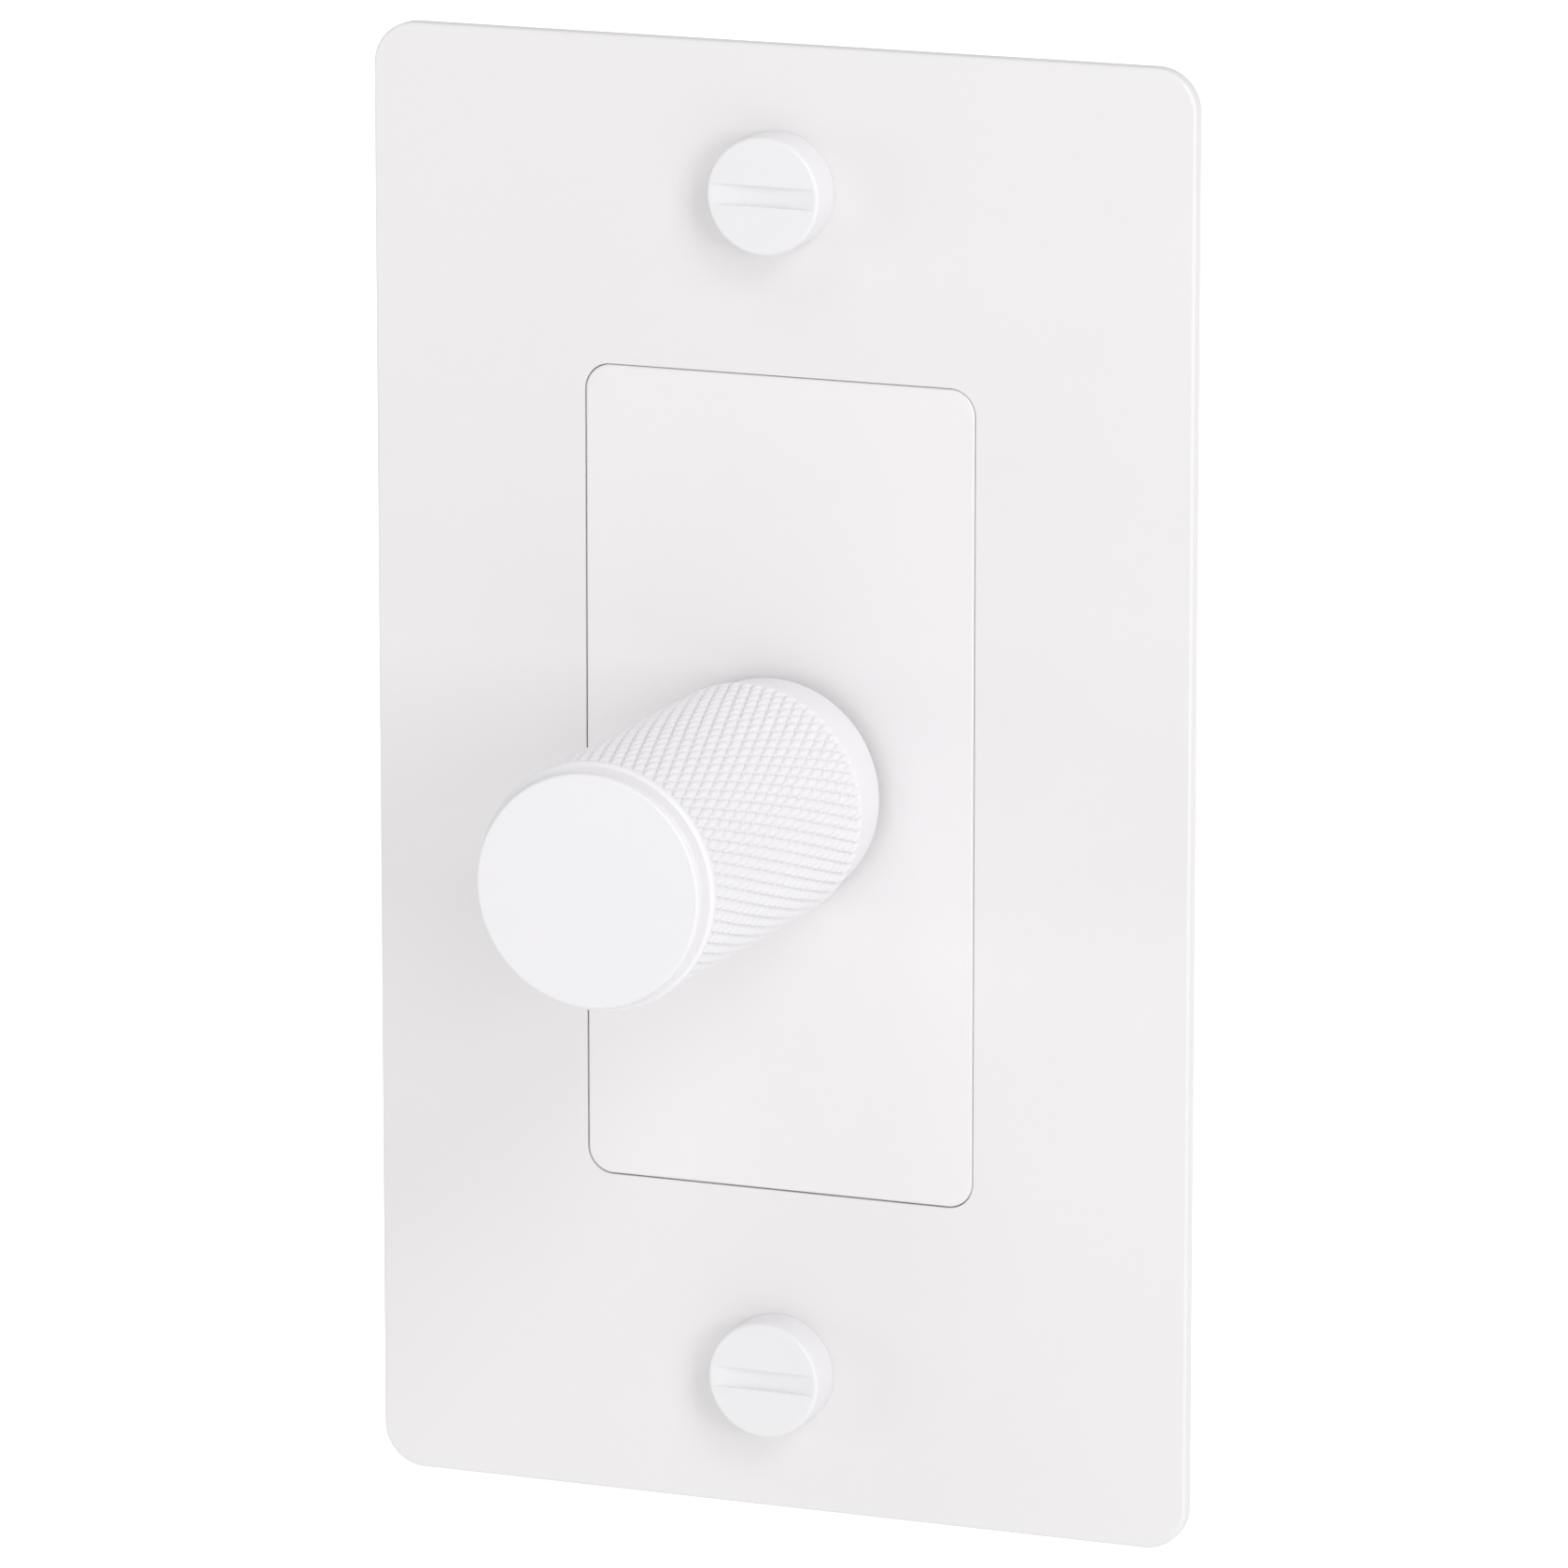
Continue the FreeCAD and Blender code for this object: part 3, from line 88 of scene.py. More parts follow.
def mesh_of(name, bm):
    """Finishes a bmesh as a smooth mesh with sharp edges where it turns hard."""
    bmesh.ops.recalc_face_normals(bm, faces=bm.faces[:])
    mesh = bpy.data.meshes.new(name)
    bm.to_mesh(mesh)
    bm.free()
    mesh.shade_smooth()
    mesh.set_sharp_from_angle(angle=SHARP_ANGLE)
    return mesh


def ring(bm, radius, y, segments, offset=0.0, shape=None, place=Matrix()):
    """Vertices round the Y axis at one radius and place, in mm.  offset turns them by parts of a step."""
    if radius < 1e-6:
        return [bm.verts.new(place @ Vector((0, y * MM, 0)))]
    row = []
    for number in range(segments):
        angle = TAU * (number + offset) / segments
        r = shape(radius, y, angle) if shape else radius
        point = Vector((r * math.cos(angle), y, r * math.sin(angle))) * MM
        row.append(bm.verts.new(place @ point))
    return row


def bridge(bm, rows, closed=False):
    """Faces between neighbouring rings.  A ring may be a single point."""
    pairs = list(zip(rows, rows[1:])) + ([(rows[-1], rows[0])] if closed else [])
    for here, there in pairs:
        for number in range(max(len(here), len(there))):
            corners = [here[number % len(here)], here[(number + 1) % len(here)]]
            corners += [there[(number + 1) % len(there)], there[number % len(there)]]
            corners = list(dict.fromkeys(corners))
            if len(corners) > 2:
                bm.faces.new(corners)


def lathe(bm, profile, segments=96, shape=None, place=Matrix()):
    """Turns a profile of (radius, y) in mm about the Y axis into a closed skin.  shape may move a radius."""
    rows = [ring(bm, radius, y, segments, 0, shape, place) for radius, y in profile]
    bridge(bm, rows, closed=len(rows[0]) > 1 and len(rows[-1]) > 1)
    return bm


def at(x=0, y=0, z=0, turn=None):
    """A place in mm, with an optional turn first."""
    return Matrix.Translation(Vector((x, y, z)) * MM) @ (turn or Matrix())


TO_RIGHT = Matrix.Rotation(math.radians(-90), 4, "Z")     # lays +Y along +X
TO_LEFT = Matrix.Rotation(math.radians(90), 4, "Z")       # lays +Y along -X
TO_TOP = Matrix.Rotation(math.radians(90), 4, "X")        # lays +Y along +Z
TO_FRONT = Matrix.Rotation(math.radians(180), 4, "Z")     # lays +Y along -Y


def steps_between(start, end, count):
    """Evenly spaced numbers from start to end, both included."""
    return [start + (end - start) * step / count for step in range(count + 1)]


def thread(start, end, pitch, depth):
    """A screw thread between two places along Y, faded in and out over half a turn."""
    flank = 1.25

    def shape(radius, y, angle):
        if not start <= y <= end:
            return radius
        fade = min(1, (y - start) / pitch * 2, (end - y) / pitch * 2)
        wave = abs((y / pitch - angle / TAU) % 1 - 0.5) * 2
        return radius - depth * fade * min(1, flank * wave)

    return shape


def outline_box(width, height, corner, arc=10):
    """A rounded rectangle in X and Z, as a function of how far it is grown, in mm."""

    def points(grow=0):
        half = width / 2 - corner
        tall = height / 2 - corner
        radius = corner + grow
        out = []
        for quarter, (right, up) in enumerate(((1, 1), (-1, 1), (-1, -1), (1, -1))):
            for step in range(arc + 1):
                angle = (quarter + step / arc) * math.pi / 2
                x = right * half + radius * math.cos(angle)
                z = up * tall + radius * math.sin(angle)
                out.append((x, z))
        return out

    return points


def outline_round(radius, x=0, z=0, count=64):
    """A circle in X and Z, as a function of how far it is grown, in mm."""

    def points(grow=0):
        angles = [TAU * step / count for step in range(count)]
        return [(x + (radius + grow) * math.cos(a), z + (radius + grow) * math.sin(a)) for a in angles]

    return points


def wall(bm, outline, levels):
    """Rings of vertices down a wall.  Each level is (y, growth).  Returns the first and last ring."""
    rings = [[bm.verts.new((x * MM, y * MM, z * MM)) for x, z in outline(grow)] for y, grow in levels]
    for here, there in zip(rings, rings[1:]):
        for number in range(len(here)):
            after = (number + 1) % len(here)
            bm.faces.new((here[number], here[after], there[after], there[number]))
    return rings[0], rings[-1]


def cap(bm, *rings):
    """Fills the flat face that lies between closed rings."""
    edges = []
    for loop in rings:
        for here, there in zip(loop, loop[1:] + loop[:1]):
            edges.append(bm.edges.get((here, there)) or bm.edges.new((here, there)))
    bmesh.ops.triangle_fill(bm, use_beauty=True, use_dissolve=False, edges=edges)


OUTSIDE = -1
HOLE = 1


def eased(front, back, edge, back_edge, side):
    """Levels down a wall whose ends are rounded by edge and back_edge.  side is OUTSIDE or HOLE."""
    angles = [step * math.pi / 8 for step in range(5)]
    levels = []
    for angle in angles:
        levels.append((front + edge * (1 - math.sin(angle)), side * edge * (1 - math.cos(angle))))
    levels.reverse()
    for angle in angles if back_edge else angles[:1]:
        levels.append((back - back_edge * (1 - math.sin(angle)), side * back_edge * (1 - math.cos(angle))))
    return levels


def tube(points, radius, sides):
    """A closed round tube along points in mm, as a bmesh."""
    bm = bmesh.new()
    line = [Vector(point) for point in points]
    rings = []
    normal = Vector((0.31, 0.17, 0.94))     # any direction that no tube starts along
    for number, here in enumerate(line):
        ahead = line[min(number + 1, len(line) - 1)] - line[max(number - 1, 0)]
        ahead.normalize()
        normal = (normal - ahead * normal.dot(ahead)).normalized()
        across = ahead.cross(normal)
        loop = []
        for side in range(sides):
            angle = TAU * side / sides
            spoke = (normal * math.cos(angle) + across * math.sin(angle)) * radius
            loop.append(bm.verts.new((here + spoke) * MM))
        rings.append(loop)
    for here, there in zip(rings, rings[1:]):
        for side in range(sides):
            after = (side + 1) % sides
            bm.faces.new((here[side], here[after], there[after], there[side]))
    for loop in (rings[0], rings[-1]):
        bm.faces.new(loop)
    return bm


def copies(mesh, places):
    """One mesh with a copy at each place."""
    bm = bmesh.new()
    for place in places:
        moved = mesh.copy()
        moved.transform(place)
        bm.from_mesh(moved)
        bpy.data.meshes.remove(moved)
    return mesh_of(mesh.name, bm)


def piece(name, mesh, body, slot, nodes=(), paints=(), material=None):
    """A finished piece that rides on a body and stands for CAD nodes.  paints follow its main material."""
    thing = bpy.data.objects.new(name, mesh)
    scene.collection.objects.link(thing)
    mesh.materials.clear()
    for coat in (material or MATERIALS[slot], *paints):
        mesh.materials.append(coat)
    even = thing.modifiers.new("even_normals", "WEIGHTED_NORMAL")
    even.keep_sharp = True
    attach(thing, body)
    if nodes:
        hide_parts(*nodes)
    return thing


def baked(mesh, *modifiers):
    """The mesh with modifiers applied.  Each is (type, settings)."""
    thing = bpy.data.objects.new("work", mesh)
    scene.collection.objects.link(thing)
    for kind, settings in modifiers:
        modifier = thing.modifiers.new(kind.lower(), kind)
        for key, value in settings.items():
            setattr(modifier, key, value)
    depsgraph = bpy.context.evaluated_depsgraph_get()
    out = bpy.data.meshes.new_from_object(thing.evaluated_get(depsgraph), depsgraph=depsgraph)
    bpy.data.objects.remove(thing)
    return out


def cut(blank, tool, *modifiers):
    """The blank with the tool's shape cut out of it, and any more modifiers applied after that."""
    cutter = bpy.data.objects.new("cutter", tool)
    scene.collection.objects.link(cutter)
    settings = {"operation": "DIFFERENCE", "object": cutter, "solver": "EXACT"}
    mesh = baked(blank, ("BOOLEAN", settings), *modifiers)
    bpy.data.objects.remove(cutter)
    return mesh


# ---------------------------------------------------------------- materials

class Shader:
    """A node material whose Principled shader is filled in step by step."""

    def __init__(self, name, **constants):
        self.material = bpy.data.materials.new(name)
        self.material.use_nodes = True
        self.tree = self.material.node_tree
        self.surface = self.tree.nodes["Principled BSDF"]
        self.place = self.add("ShaderNodeTexCoord").outputs["Object"]
        for key, value in constants.items():
            self.surface.inputs[key.replace("_", " ")].default_value = value

    def add(self, kind, properties=None, **inputs):
        """A new node.  An input is named, with _ for a space, or numbered as _0, _1 and so on."""
        node = self.tree.nodes.new(kind)
        for key, value in (properties or {}).items():
            setattr(node, key, value)
        for key, value in inputs.items():
            name = int(key[1:]) if key[0] == "_" else key.replace("_", " ")
            self.feed(node.inputs[name], value)
        return node

    def feed(self, socket, value):
        """Links a socket to the value, or sets it when the value is a constant."""
        if isinstance(value, bpy.types.NodeSocket):
            self.tree.links.new(value, socket)
        else:
            socket.default_value = value

    def stretched(self, x, y, z):
        """Object coordinates, in features per mm along each axis."""
        scale = (x / MM, y / MM, z / MM)
        return self.add("ShaderNodeMapping", Vector=self.place, Scale=scale).outputs["Vector"]

    def noise(self, per_mm, detail, rough=0.5):
        """Even noise with so many features per mm."""
        return self.streaks((per_mm, per_mm, per_mm), detail, rough)

    def streaks(self, per_mm, detail, rough):
        """Noise with its own number of features per mm along each axis."""
        where = self.stretched(*per_mm)
        node = self.add("ShaderNodeTexNoise", Vector=where, Scale=1.0, Detail=detail, Roughness=rough)
        return node.outputs[0]

    def cells(self, per_mm, feature="F1", distance="EUCLIDEAN"):
        """Distance to the nearest cell centres, with so many cells per mm."""
        where = self.stretched(per_mm, per_mm, per_mm)
        settings = {"feature": feature, "distance": distance}
        return self.add("ShaderNodeTexVoronoi", settings, Vector=where, Scale=1.0).outputs["Distance"]

    def ramp(self, value, low, high, to_low=0.0, to_high=1.0):
        """Takes low..high to to_low..to_high, and holds the value outside them."""
        node = self.add("ShaderNodeMapRange", {"clamp": True}, Value=value)
        for key, number in zip(("From Min", "From Max", "To Min", "To Max"), (low, high, to_low, to_high)):
            node.inputs[key].default_value = number
        return node.outputs[0]

    def blend(self, share, one, other):
        """Mixes two colours: the first at share 0, the other at share 1."""
        node = self.add("ShaderNodeMix", {"data_type": "RGBA", "blend_type": "MIX"})
        self.feed(node.inputs[0], share)
        self.feed(node.inputs[6], one)
        self.feed(node.inputs[7], other)
        return node.outputs[2]

    def calc(self, operation, one, other):
        """One step of arithmetic on two values."""
        return self.add("ShaderNodeMath", {"operation": operation}, _0=one, _1=other).outputs[0]

    def colour(self, value):
        self.feed(self.surface.inputs["Base Color"], value)

    def rough(self, value):
        self.feed(self.surface.inputs["Roughness"], value)

    def bump(self, *layers, soft=None):
        """Each layer is (height, strength, depth in mm).  soft rounds hard edges by that radius in mm."""
        normal = None
        if soft:
            normal = self.add("ShaderNodeBevel", {"samples": 4}, Radius=soft * MM).outputs[0]
        for height, strength, depth in layers:
            node = self.add("ShaderNodeBump", Strength=strength, Distance=depth * MM, Height=height)
            if normal:
                self.feed(node.inputs["Normal"], normal)
            normal = node.outputs[0]
        if normal:
            self.feed(self.surface.inputs["Normal"], normal)


def rgb(*values):
    """An opaque colour."""
    return (*values, 1.0)


def shaded(colour, share):
    """A darker version of a colour, as a shader takes it."""
    return rgb(*[channel * share for channel in colour])


def uneven(made, per_mm, detail, rough):
    """Gives a material a roughness that drifts a little around a value."""
    made.rough(made.ramp(made.noise(per_mm, detail), 0.3, 0.7, rough - 0.04, rough + 0.05))


def powder_coat(name, colour, rough, peel=0.02):
    """Satin powder coat: faint orange peel, a fine grain and a few dust specks."""
    made = Shader(name, Specular_IOR_Level=0.5)
    base = made.blend(made.noise(0.06, 2.0), shaded(colour, 0.975), rgb(*colour))
    speck = made.ramp(made.cells(0.11), 0.0, 0.008, 0.75, 0.0)
    made.colour(made.blend(speck, base, DUST))
    uneven(made, 1.4, 3.0, rough)
    made.bump((made.noise(1.3, 2.0), 0.35, peel), (made.noise(9.0, 2.0), 0.25, peel / 6))
    return made.material


def plastic(name, colour, rough, grain, depth, fleck=None, **more):
    """Moulded plastic.  grain is features per mm and depth is in mm; fleck colours filler specks."""
    made = Shader(name, Specular_IOR_Level=0.5, **more)
    base = made.blend(made.noise(0.12, 3.0), shaded(colour, 0.88), rgb(*colour))
    if fleck:
        spots = made.ramp(made.cells(2.6), 0.08, 0.2, 0.7, 0.0)
        base = made.blend(spots, base, rgb(*fleck))
    made.colour(base)
    uneven(made, 1.5, 4.0, rough)
    made.bump((made.noise(grain, 3.0, 0.65), 0.5, depth), soft=PLASTIC_EDGE)
    return made.material


def metal(name, colour, rough, brush, tarnish=None):
    """Bare or plated metal, brushed along its stretched axis, with a little tarnish in patches."""
    made = Shader(name, Metallic=1.0)
    lines = made.streaks(brush, 4.0, 0.6)
    patches = made.noise(0.5, 5.0)
    dull = rgb(*tarnish) if tarnish else shaded(colour, 0.72)
    base = made.blend(made.ramp(patches, 0.42, 0.85), rgb(*colour), dull)
    made.colour(made.blend(made.ramp(lines, 0.35, 0.65, 0.0, 0.25), base, shaded(colour, 0.85)))
    brushed = made.ramp(lines, 0.3, 0.7, rough - 0.06, rough + 0.06)
    made.rough(made.calc("ADD", brushed, made.ramp(patches, 0.4, 0.9, 0.0, 0.08)))
    made.bump((lines, 0.4, 0.004), soft=METAL_EDGE)
    return made.material


PLASTIC_EDGE = 0.12     # how far edges look rounded, in mm
METAL_EDGE = 0.1
EVEN_BRUSH = (2.0, 2.0, 2.0)
DUST = rgb(0.34, 0.31, 0.29)
WHITE = (0.855, 0.84, 0.848)
COOL_WHITE = (0.875, 0.862, 0.885)
SCREW_WHITE = (0.86, 0.85, 0.865)

# One material for each slot.  Metals: colour, roughness, brushing per axis, tarnish.  Plastics: colour,
# roughness, grain, depth, flecks.
MATERIALS = {
    "strap_metal": metal("zinc_plate", (0.62, 0.63, 0.63), 0.34, (0.3, 3.0, 0.3), (0.5, 0.49, 0.46)),
    "housing_plastic": plastic("black_thermoset", (0.022, 0.023, 0.025), 0.5, 5.0, 0.03),
    "bright_steel": metal("bright_steel", (0.66, 0.66, 0.67), 0.24, (0.5, 6.0, 0.5)),
    "brass": metal("brass", (0.72, 0.52, 0.24), 0.26, EVEN_BRUSH, (0.5, 0.36, 0.18)),
    "nylon": plastic("natural_nylon", (0.78, 0.76, 0.69), 0.42, 3.0, 0.01, Subsurface_Weight=0.15,
                     Subsurface_Scale=0.002),
    "silver": metal("silver_contact", (0.82, 0.81, 0.78), 0.22, (3.0, 3.0, 3.0), (0.45, 0.4, 0.33)),
    "dark_plastic": plastic("glass_filled_black", (0.035, 0.035, 0.038), 0.46, 4.0, 0.02,
                            (0.12, 0.12, 0.125)),
    "epoxy_black": plastic("moulded_epoxy", (0.028, 0.028, 0.031), 0.4, 7.0, 0.012),
    "pad_grey": plastic("silicone_pad", (0.36, 0.37, 0.41), 0.7, 3.0, 0.02, (0.45, 0.46, 0.5)),
    "tinned": metal("tin", (0.72, 0.72, 0.7), 0.3, (1.5, 1.5, 1.5), (0.5, 0.5, 0.5)),
    "ferrite": plastic("sintered_ferrite", (0.06, 0.06, 0.065), 0.38, 8.0, 0.03, (0.12, 0.12, 0.13)),
    "film_box": plastic("film_box", (0.62, 0.4, 0.02), 0.3, 2.0, 0.008),
    "fuse_black": plastic("fuse_cap", (0.1, 0.025, 0.018), 0.24, 2.0, 0.006),
    "ceramic_blue": plastic("dipped_ceramic", (0.03, 0.12, 0.36), 0.28, 1.2, 0.03),
    "diac_glass": plastic("diac_lacquer", (0.02, 0.07, 0.34), 0.2, 1.5, 0.006),
    "earth_green": metal("green_plating", (0.05, 0.34, 0.12), 0.3, EVEN_BRUSH, (0.04, 0.2, 0.08)),
    "white_plate": powder_coat("plate_powder_coat", WHITE, 0.36),
    "white_knob": powder_coat("knob_powder_coat", COOL_WHITE, 0.4, peel=0.008),
    "white_screw": powder_coat("screw_powder_coat", SCREW_WHITE, 0.34, peel=0.01),
}


def phenolic():
    """Paper laminate: brown, with fibres."""
    made = Shader("paper_laminate", Specular_IOR_Level=0.4)
    fibres = made.streaks((6.0, 1.0, 1.4), 5.0, 0.7)
    made.colour(made.blend(fibres, rgb(0.2, 0.085, 0.03), rgb(0.36, 0.18, 0.07)))
    made.rough(made.ramp(fibres, 0.3, 0.7, 0.34, 0.5))
    made.bump((fibres, 0.4, 0.01), soft=METAL_EDGE)
    return made.material


def carbon():
    """Printed carbon track: nearly black, grainy and dull."""
    made = Shader("carbon_film", Specular_IOR_Level=0.35)
    grain = made.noise(12.0, 3.0)
    made.colour(made.blend(grain, rgb(0.008, 0.008, 0.009), rgb(0.03, 0.03, 0.032)))
    made.rough(made.ramp(made.noise(1.0, 3.0), 0.3, 0.7, 0.42, 0.62))
    made.bump((grain, 0.3, 0.004))
    return made.material


def solder_mask():
    """Green mask over broad copper areas, which stand a little proud of the bare channels between them."""
    made = Shader("solder_mask", Specular_IOR_Level=0.5, Coat_Weight=0.3, Coat_Roughness=0.12)
    near = made.cells(0.13, "F1", "CHEBYCHEV")
    far = made.cells(0.13, "F2", "CHEBYCHEV")
    copper = made.ramp(made.calc("SUBTRACT", far, near), 0.07, 0.1)
    weave = made.streaks((2.4, 2.4, 0.8), 3.0, 0.6)
    bare = made.blend(weave, rgb(0.012, 0.085, 0.03), rgb(0.02, 0.115, 0.04))
    plated = made.blend(made.noise(0.3, 3.0), rgb(0.03, 0.19, 0.06), rgb(0.045, 0.24, 0.08))
    made.colour(made.blend(copper, bare, plated))
    made.rough(made.ramp(made.noise(0.8, 3.0), 0.3, 0.7, 0.22, 0.34))
    made.bump((copper, 0.5, 0.04), (weave, 0.2, 0.005))
    return made.material


def enamelled_wire():
    """Copper winding wire under a glossy enamel."""
    made = Shader("enamelled_copper", Metallic=0.9, Coat_Weight=0.8, Coat_Roughness=0.08)
    patches = made.noise(0.4, 4.0)
    made.colour(made.blend(patches, rgb(0.5, 0.16, 0.05), rgb(0.72, 0.3, 0.12)))
    made.rough(made.ramp(patches, 0.3, 0.7, 0.2, 0.34))
    made.bump((made.noise(3.0, 2.0), 0.2, 0.006))
    return made.material


MATERIALS["phenolic"] = phenolic()
MATERIALS["carbon"] = carbon()
MATERIALS["board_green"] = solder_mask()
MATERIALS["copper"] = enamelled_wire()
MATERIALS["resistor_body"] = plastic("resistor_lacquer", (0.6, 0.45, 0.28), 0.32, 2.0, 0.01)

# Every CAD node takes the material of its own slot.
for entry in frame["record"]["subparts"]:
    cad_mesh = frame["nodes"][entry["node"]].data
    cad_mesh.materials.clear()
    cad_mesh.materials.append(MATERIALS[entry["material_slot"]])


# ---------------------------------------------------------------- front: plate, insert, screws, knob

def middle(node):
    """Centre of a node's box, in mm."""
    low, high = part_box(node)
    return (low + high) / 2 / MM


def sizes(node):
    """Widths of a node's box along X, Y and Z, in mm."""
    low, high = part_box(node)
    return (high - low) / MM


def ends(node):
    """Front and back of a node along Y, in mm."""
    low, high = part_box(node)
    return low.y / MM, high.y / MM


PLATE_CORNER = 3.5
WINDOW_GAP = 0.07
WINDOW_CORNER = 2.2
SCREW_PITCH = 96.84
SCREW_HOLE = 2.0
RELIEF = (46, 108)          # width and height of the shallow pocket in the plate's back
RELIEF_DEPTH = 0.3
COARSE_PITCH = 0.794        # thread pitch of a 6-32 screw


def make_face_plate():
    """Sheet plate with eased edges, and a shallow relief in its back for the strap."""
    size = sizes("face_plate")
    front, back = ends("face_plate")
    window = sizes("centre_plate")
    outer = outline_box(size.x, size.z, PLATE_CORNER, 24)
    opening = outline_box(window.x + 2 * WINDOW_GAP, window.z + 2 * WINDOW_GAP, WINDOW_CORNER, 20)
    relief = outline_box(*RELIEF, PLATE_CORNER, 12)
    bm = bmesh.new()
    rim = wall(bm, outer, eased(front, back, 0.3, 0.12, OUTSIDE))
    inner = back - RELIEF_DEPTH
    holes = [wall(bm, opening, eased(front, inner, 0.06, 0, HOLE))]
    for side in (-1, 1):
        hole = outline_round(SCREW_HOLE, 0, side * SCREW_PITCH / 2)
        holes.append(wall(bm, hole, eased(front, inner, 0.1, 0, HOLE)))
    step = wall(bm, relief, [(back, 0), (inner, 0)])
    cap(bm, rim[0], *[hole[0] for hole in holes])
    cap(bm, rim[1], step[0])
    cap(bm, step[1], *[hole[1] for hole in holes])
    piece("wall_plate", mesh_of("wall_plate", bm), "device", "white_plate", ["face_plate"])


def make_centre_plate():
    """Insert that fills the window, with two locating pegs behind."""
    size = sizes("centre_plate")
    front, peg_back = ends("centre_plate")
    back = ends("face_plate")[1] - RELIEF_DEPTH
    bore_radius = 4.85
    peg_radius = 1.0
    peg_height = 26
    chamfer = 0.2
    bm = bmesh.new()
    corner = WINDOW_CORNER - WINDOW_GAP
    rim = wall(bm, outline_box(size.x, size.z, corner, 20), eased(front, back, 0.28, 0.08, OUTSIDE))
    bore = wall(bm, outline_round(bore_radius), eased(front, back, 0.1, 0, HOLE))
    pegs = []
    for side in (-1, 1):
        outline = outline_round(peg_radius, 0, side * peg_height, 32)
        pegs.append(wall(bm, outline, [(back, 0), (peg_back - chamfer, 0), (peg_back, -chamfer)]))
    cap(bm, rim[0], bore[0])
    cap(bm, rim[1], bore[1], *[peg[0] for peg in pegs])
    for peg in pegs:
        cap(bm, peg[1])
    paler = tuple(channel * 1.03 for channel in WHITE)
    coat = powder_coat("insert_powder_coat", paler, 0.36)
    mesh = mesh_of("window_insert", bm)
    piece("window_insert", mesh, "device", "white_plate", ["centre_plate"], material=coat)


def make_coin_screws():
    """Cheese-head screws with a coin slot whose floor is an arc, and a rolled thread."""
    front, tail = ends("plate_screws")
    seat = ends("face_plate")[0]
    radius = sizes("plate_screws").x / 2
    shank = 1.75
    first = 0.6
    last = tail - 0.8
    rolled = thread(first, last, COARSE_PITCH, 0.36)
    profile = fillet([
        (0, front), (radius, front, 0.3), (radius, seat, 0.12), (shank, seat, 0.15), (shank, 0.5),
    ], 8)
    profile += [(shank, y) for y in steps_between(first, last, 150)]
    profile += [(shank - 0.7, tail), (0, tail)]
    slot_depth = 0.45
    slot_reach = 4.4
    slot_width = 1.7
    half = slot_width / 2
    cutter_radius = (slot_reach ** 2 + slot_depth ** 2) / (2 * slot_depth)
    disc = [(0, -half), (cutter_radius, -half), (cutter_radius, half), (0, half)]
    bevel = {
        "width": 0.09 * MM, "segments": 3, "limit_method": "ANGLE",
        "angle_limit": math.radians(50), "harden_normals": False,
    }
    for label, side in (("upper", 1), ("lower", -1)):
        z = side * SCREW_PITCH / 2
        blank = mesh_of("blank", lathe(bmesh.new(), profile, 96, rolled, at(0, 0, z)))
        centre = at(0, front + slot_depth - cutter_radius, z, TO_TOP)
        drum = lathe(bmesh.new(), disc, 360, place=centre)
        mesh = cut(blank, mesh_of("cutter", drum), ("BEVEL", bevel))
        mesh.shade_smooth()
        mesh.set_sharp_from_angle(angle=SHARP_ANGLE)
        piece(f"coin_screw_{label}", mesh, "device", "white_screw", ["plate_screws"])


KNURLS = 64             # grooves of each hand round the knob
KNURL_PITCH = 3.22      # from one groove to the next along the knob
KNURL_STEPS = 6         # mesh steps from one groove to the next
KNURL_DEPTH = 0.28


def tooth(turn):
    """Height across one tooth: a narrow sharp valley and a nearly flat crest."""
    slack = 2 * abs(turn % 1 - 0.5)
    return 1 - slack ** 4


def knurl(bm, radius, front, back):
    """A band of diamond knurl whose edges all lie along the two helices.  Returns its end rings."""
    step = KNURL_PITCH / (2 * KNURL_STEPS)
    count = 2 * round((back - front) / step / 2)
    segments = KNURLS * KNURL_STEPS

    def cut_back(full, y, angle):
        around = angle / TAU * KNURLS
        along = (y - front) / step / (2 * KNURL_STEPS)
        return full - KNURL_DEPTH * (1 - tooth(around + along) * tooth(around - along))

    rows = [ring(bm, radius, front, segments)]
    for number in range(1, count):
        rows.append(ring(bm, radius, front + number * step, segments, number % 2 / 2, cut_back))
    rows.append(ring(bm, radius, front + count * step, segments))
    for number in range(segments):
        after = (number + 1) % segments
        bm.faces.new((rows[0][number], rows[0][after], rows[1][number]))
        bm.faces.new((rows[-1][after], rows[-1][number], rows[-2][number]))
        for row in range(count - 1):
            right = (number + row % 2) % segments
            low, between, high = rows[row:row + 3]
            bm.faces.new((low[number], between[right], high[number], between[right - 1]))
    return rows[0], rows[-1]


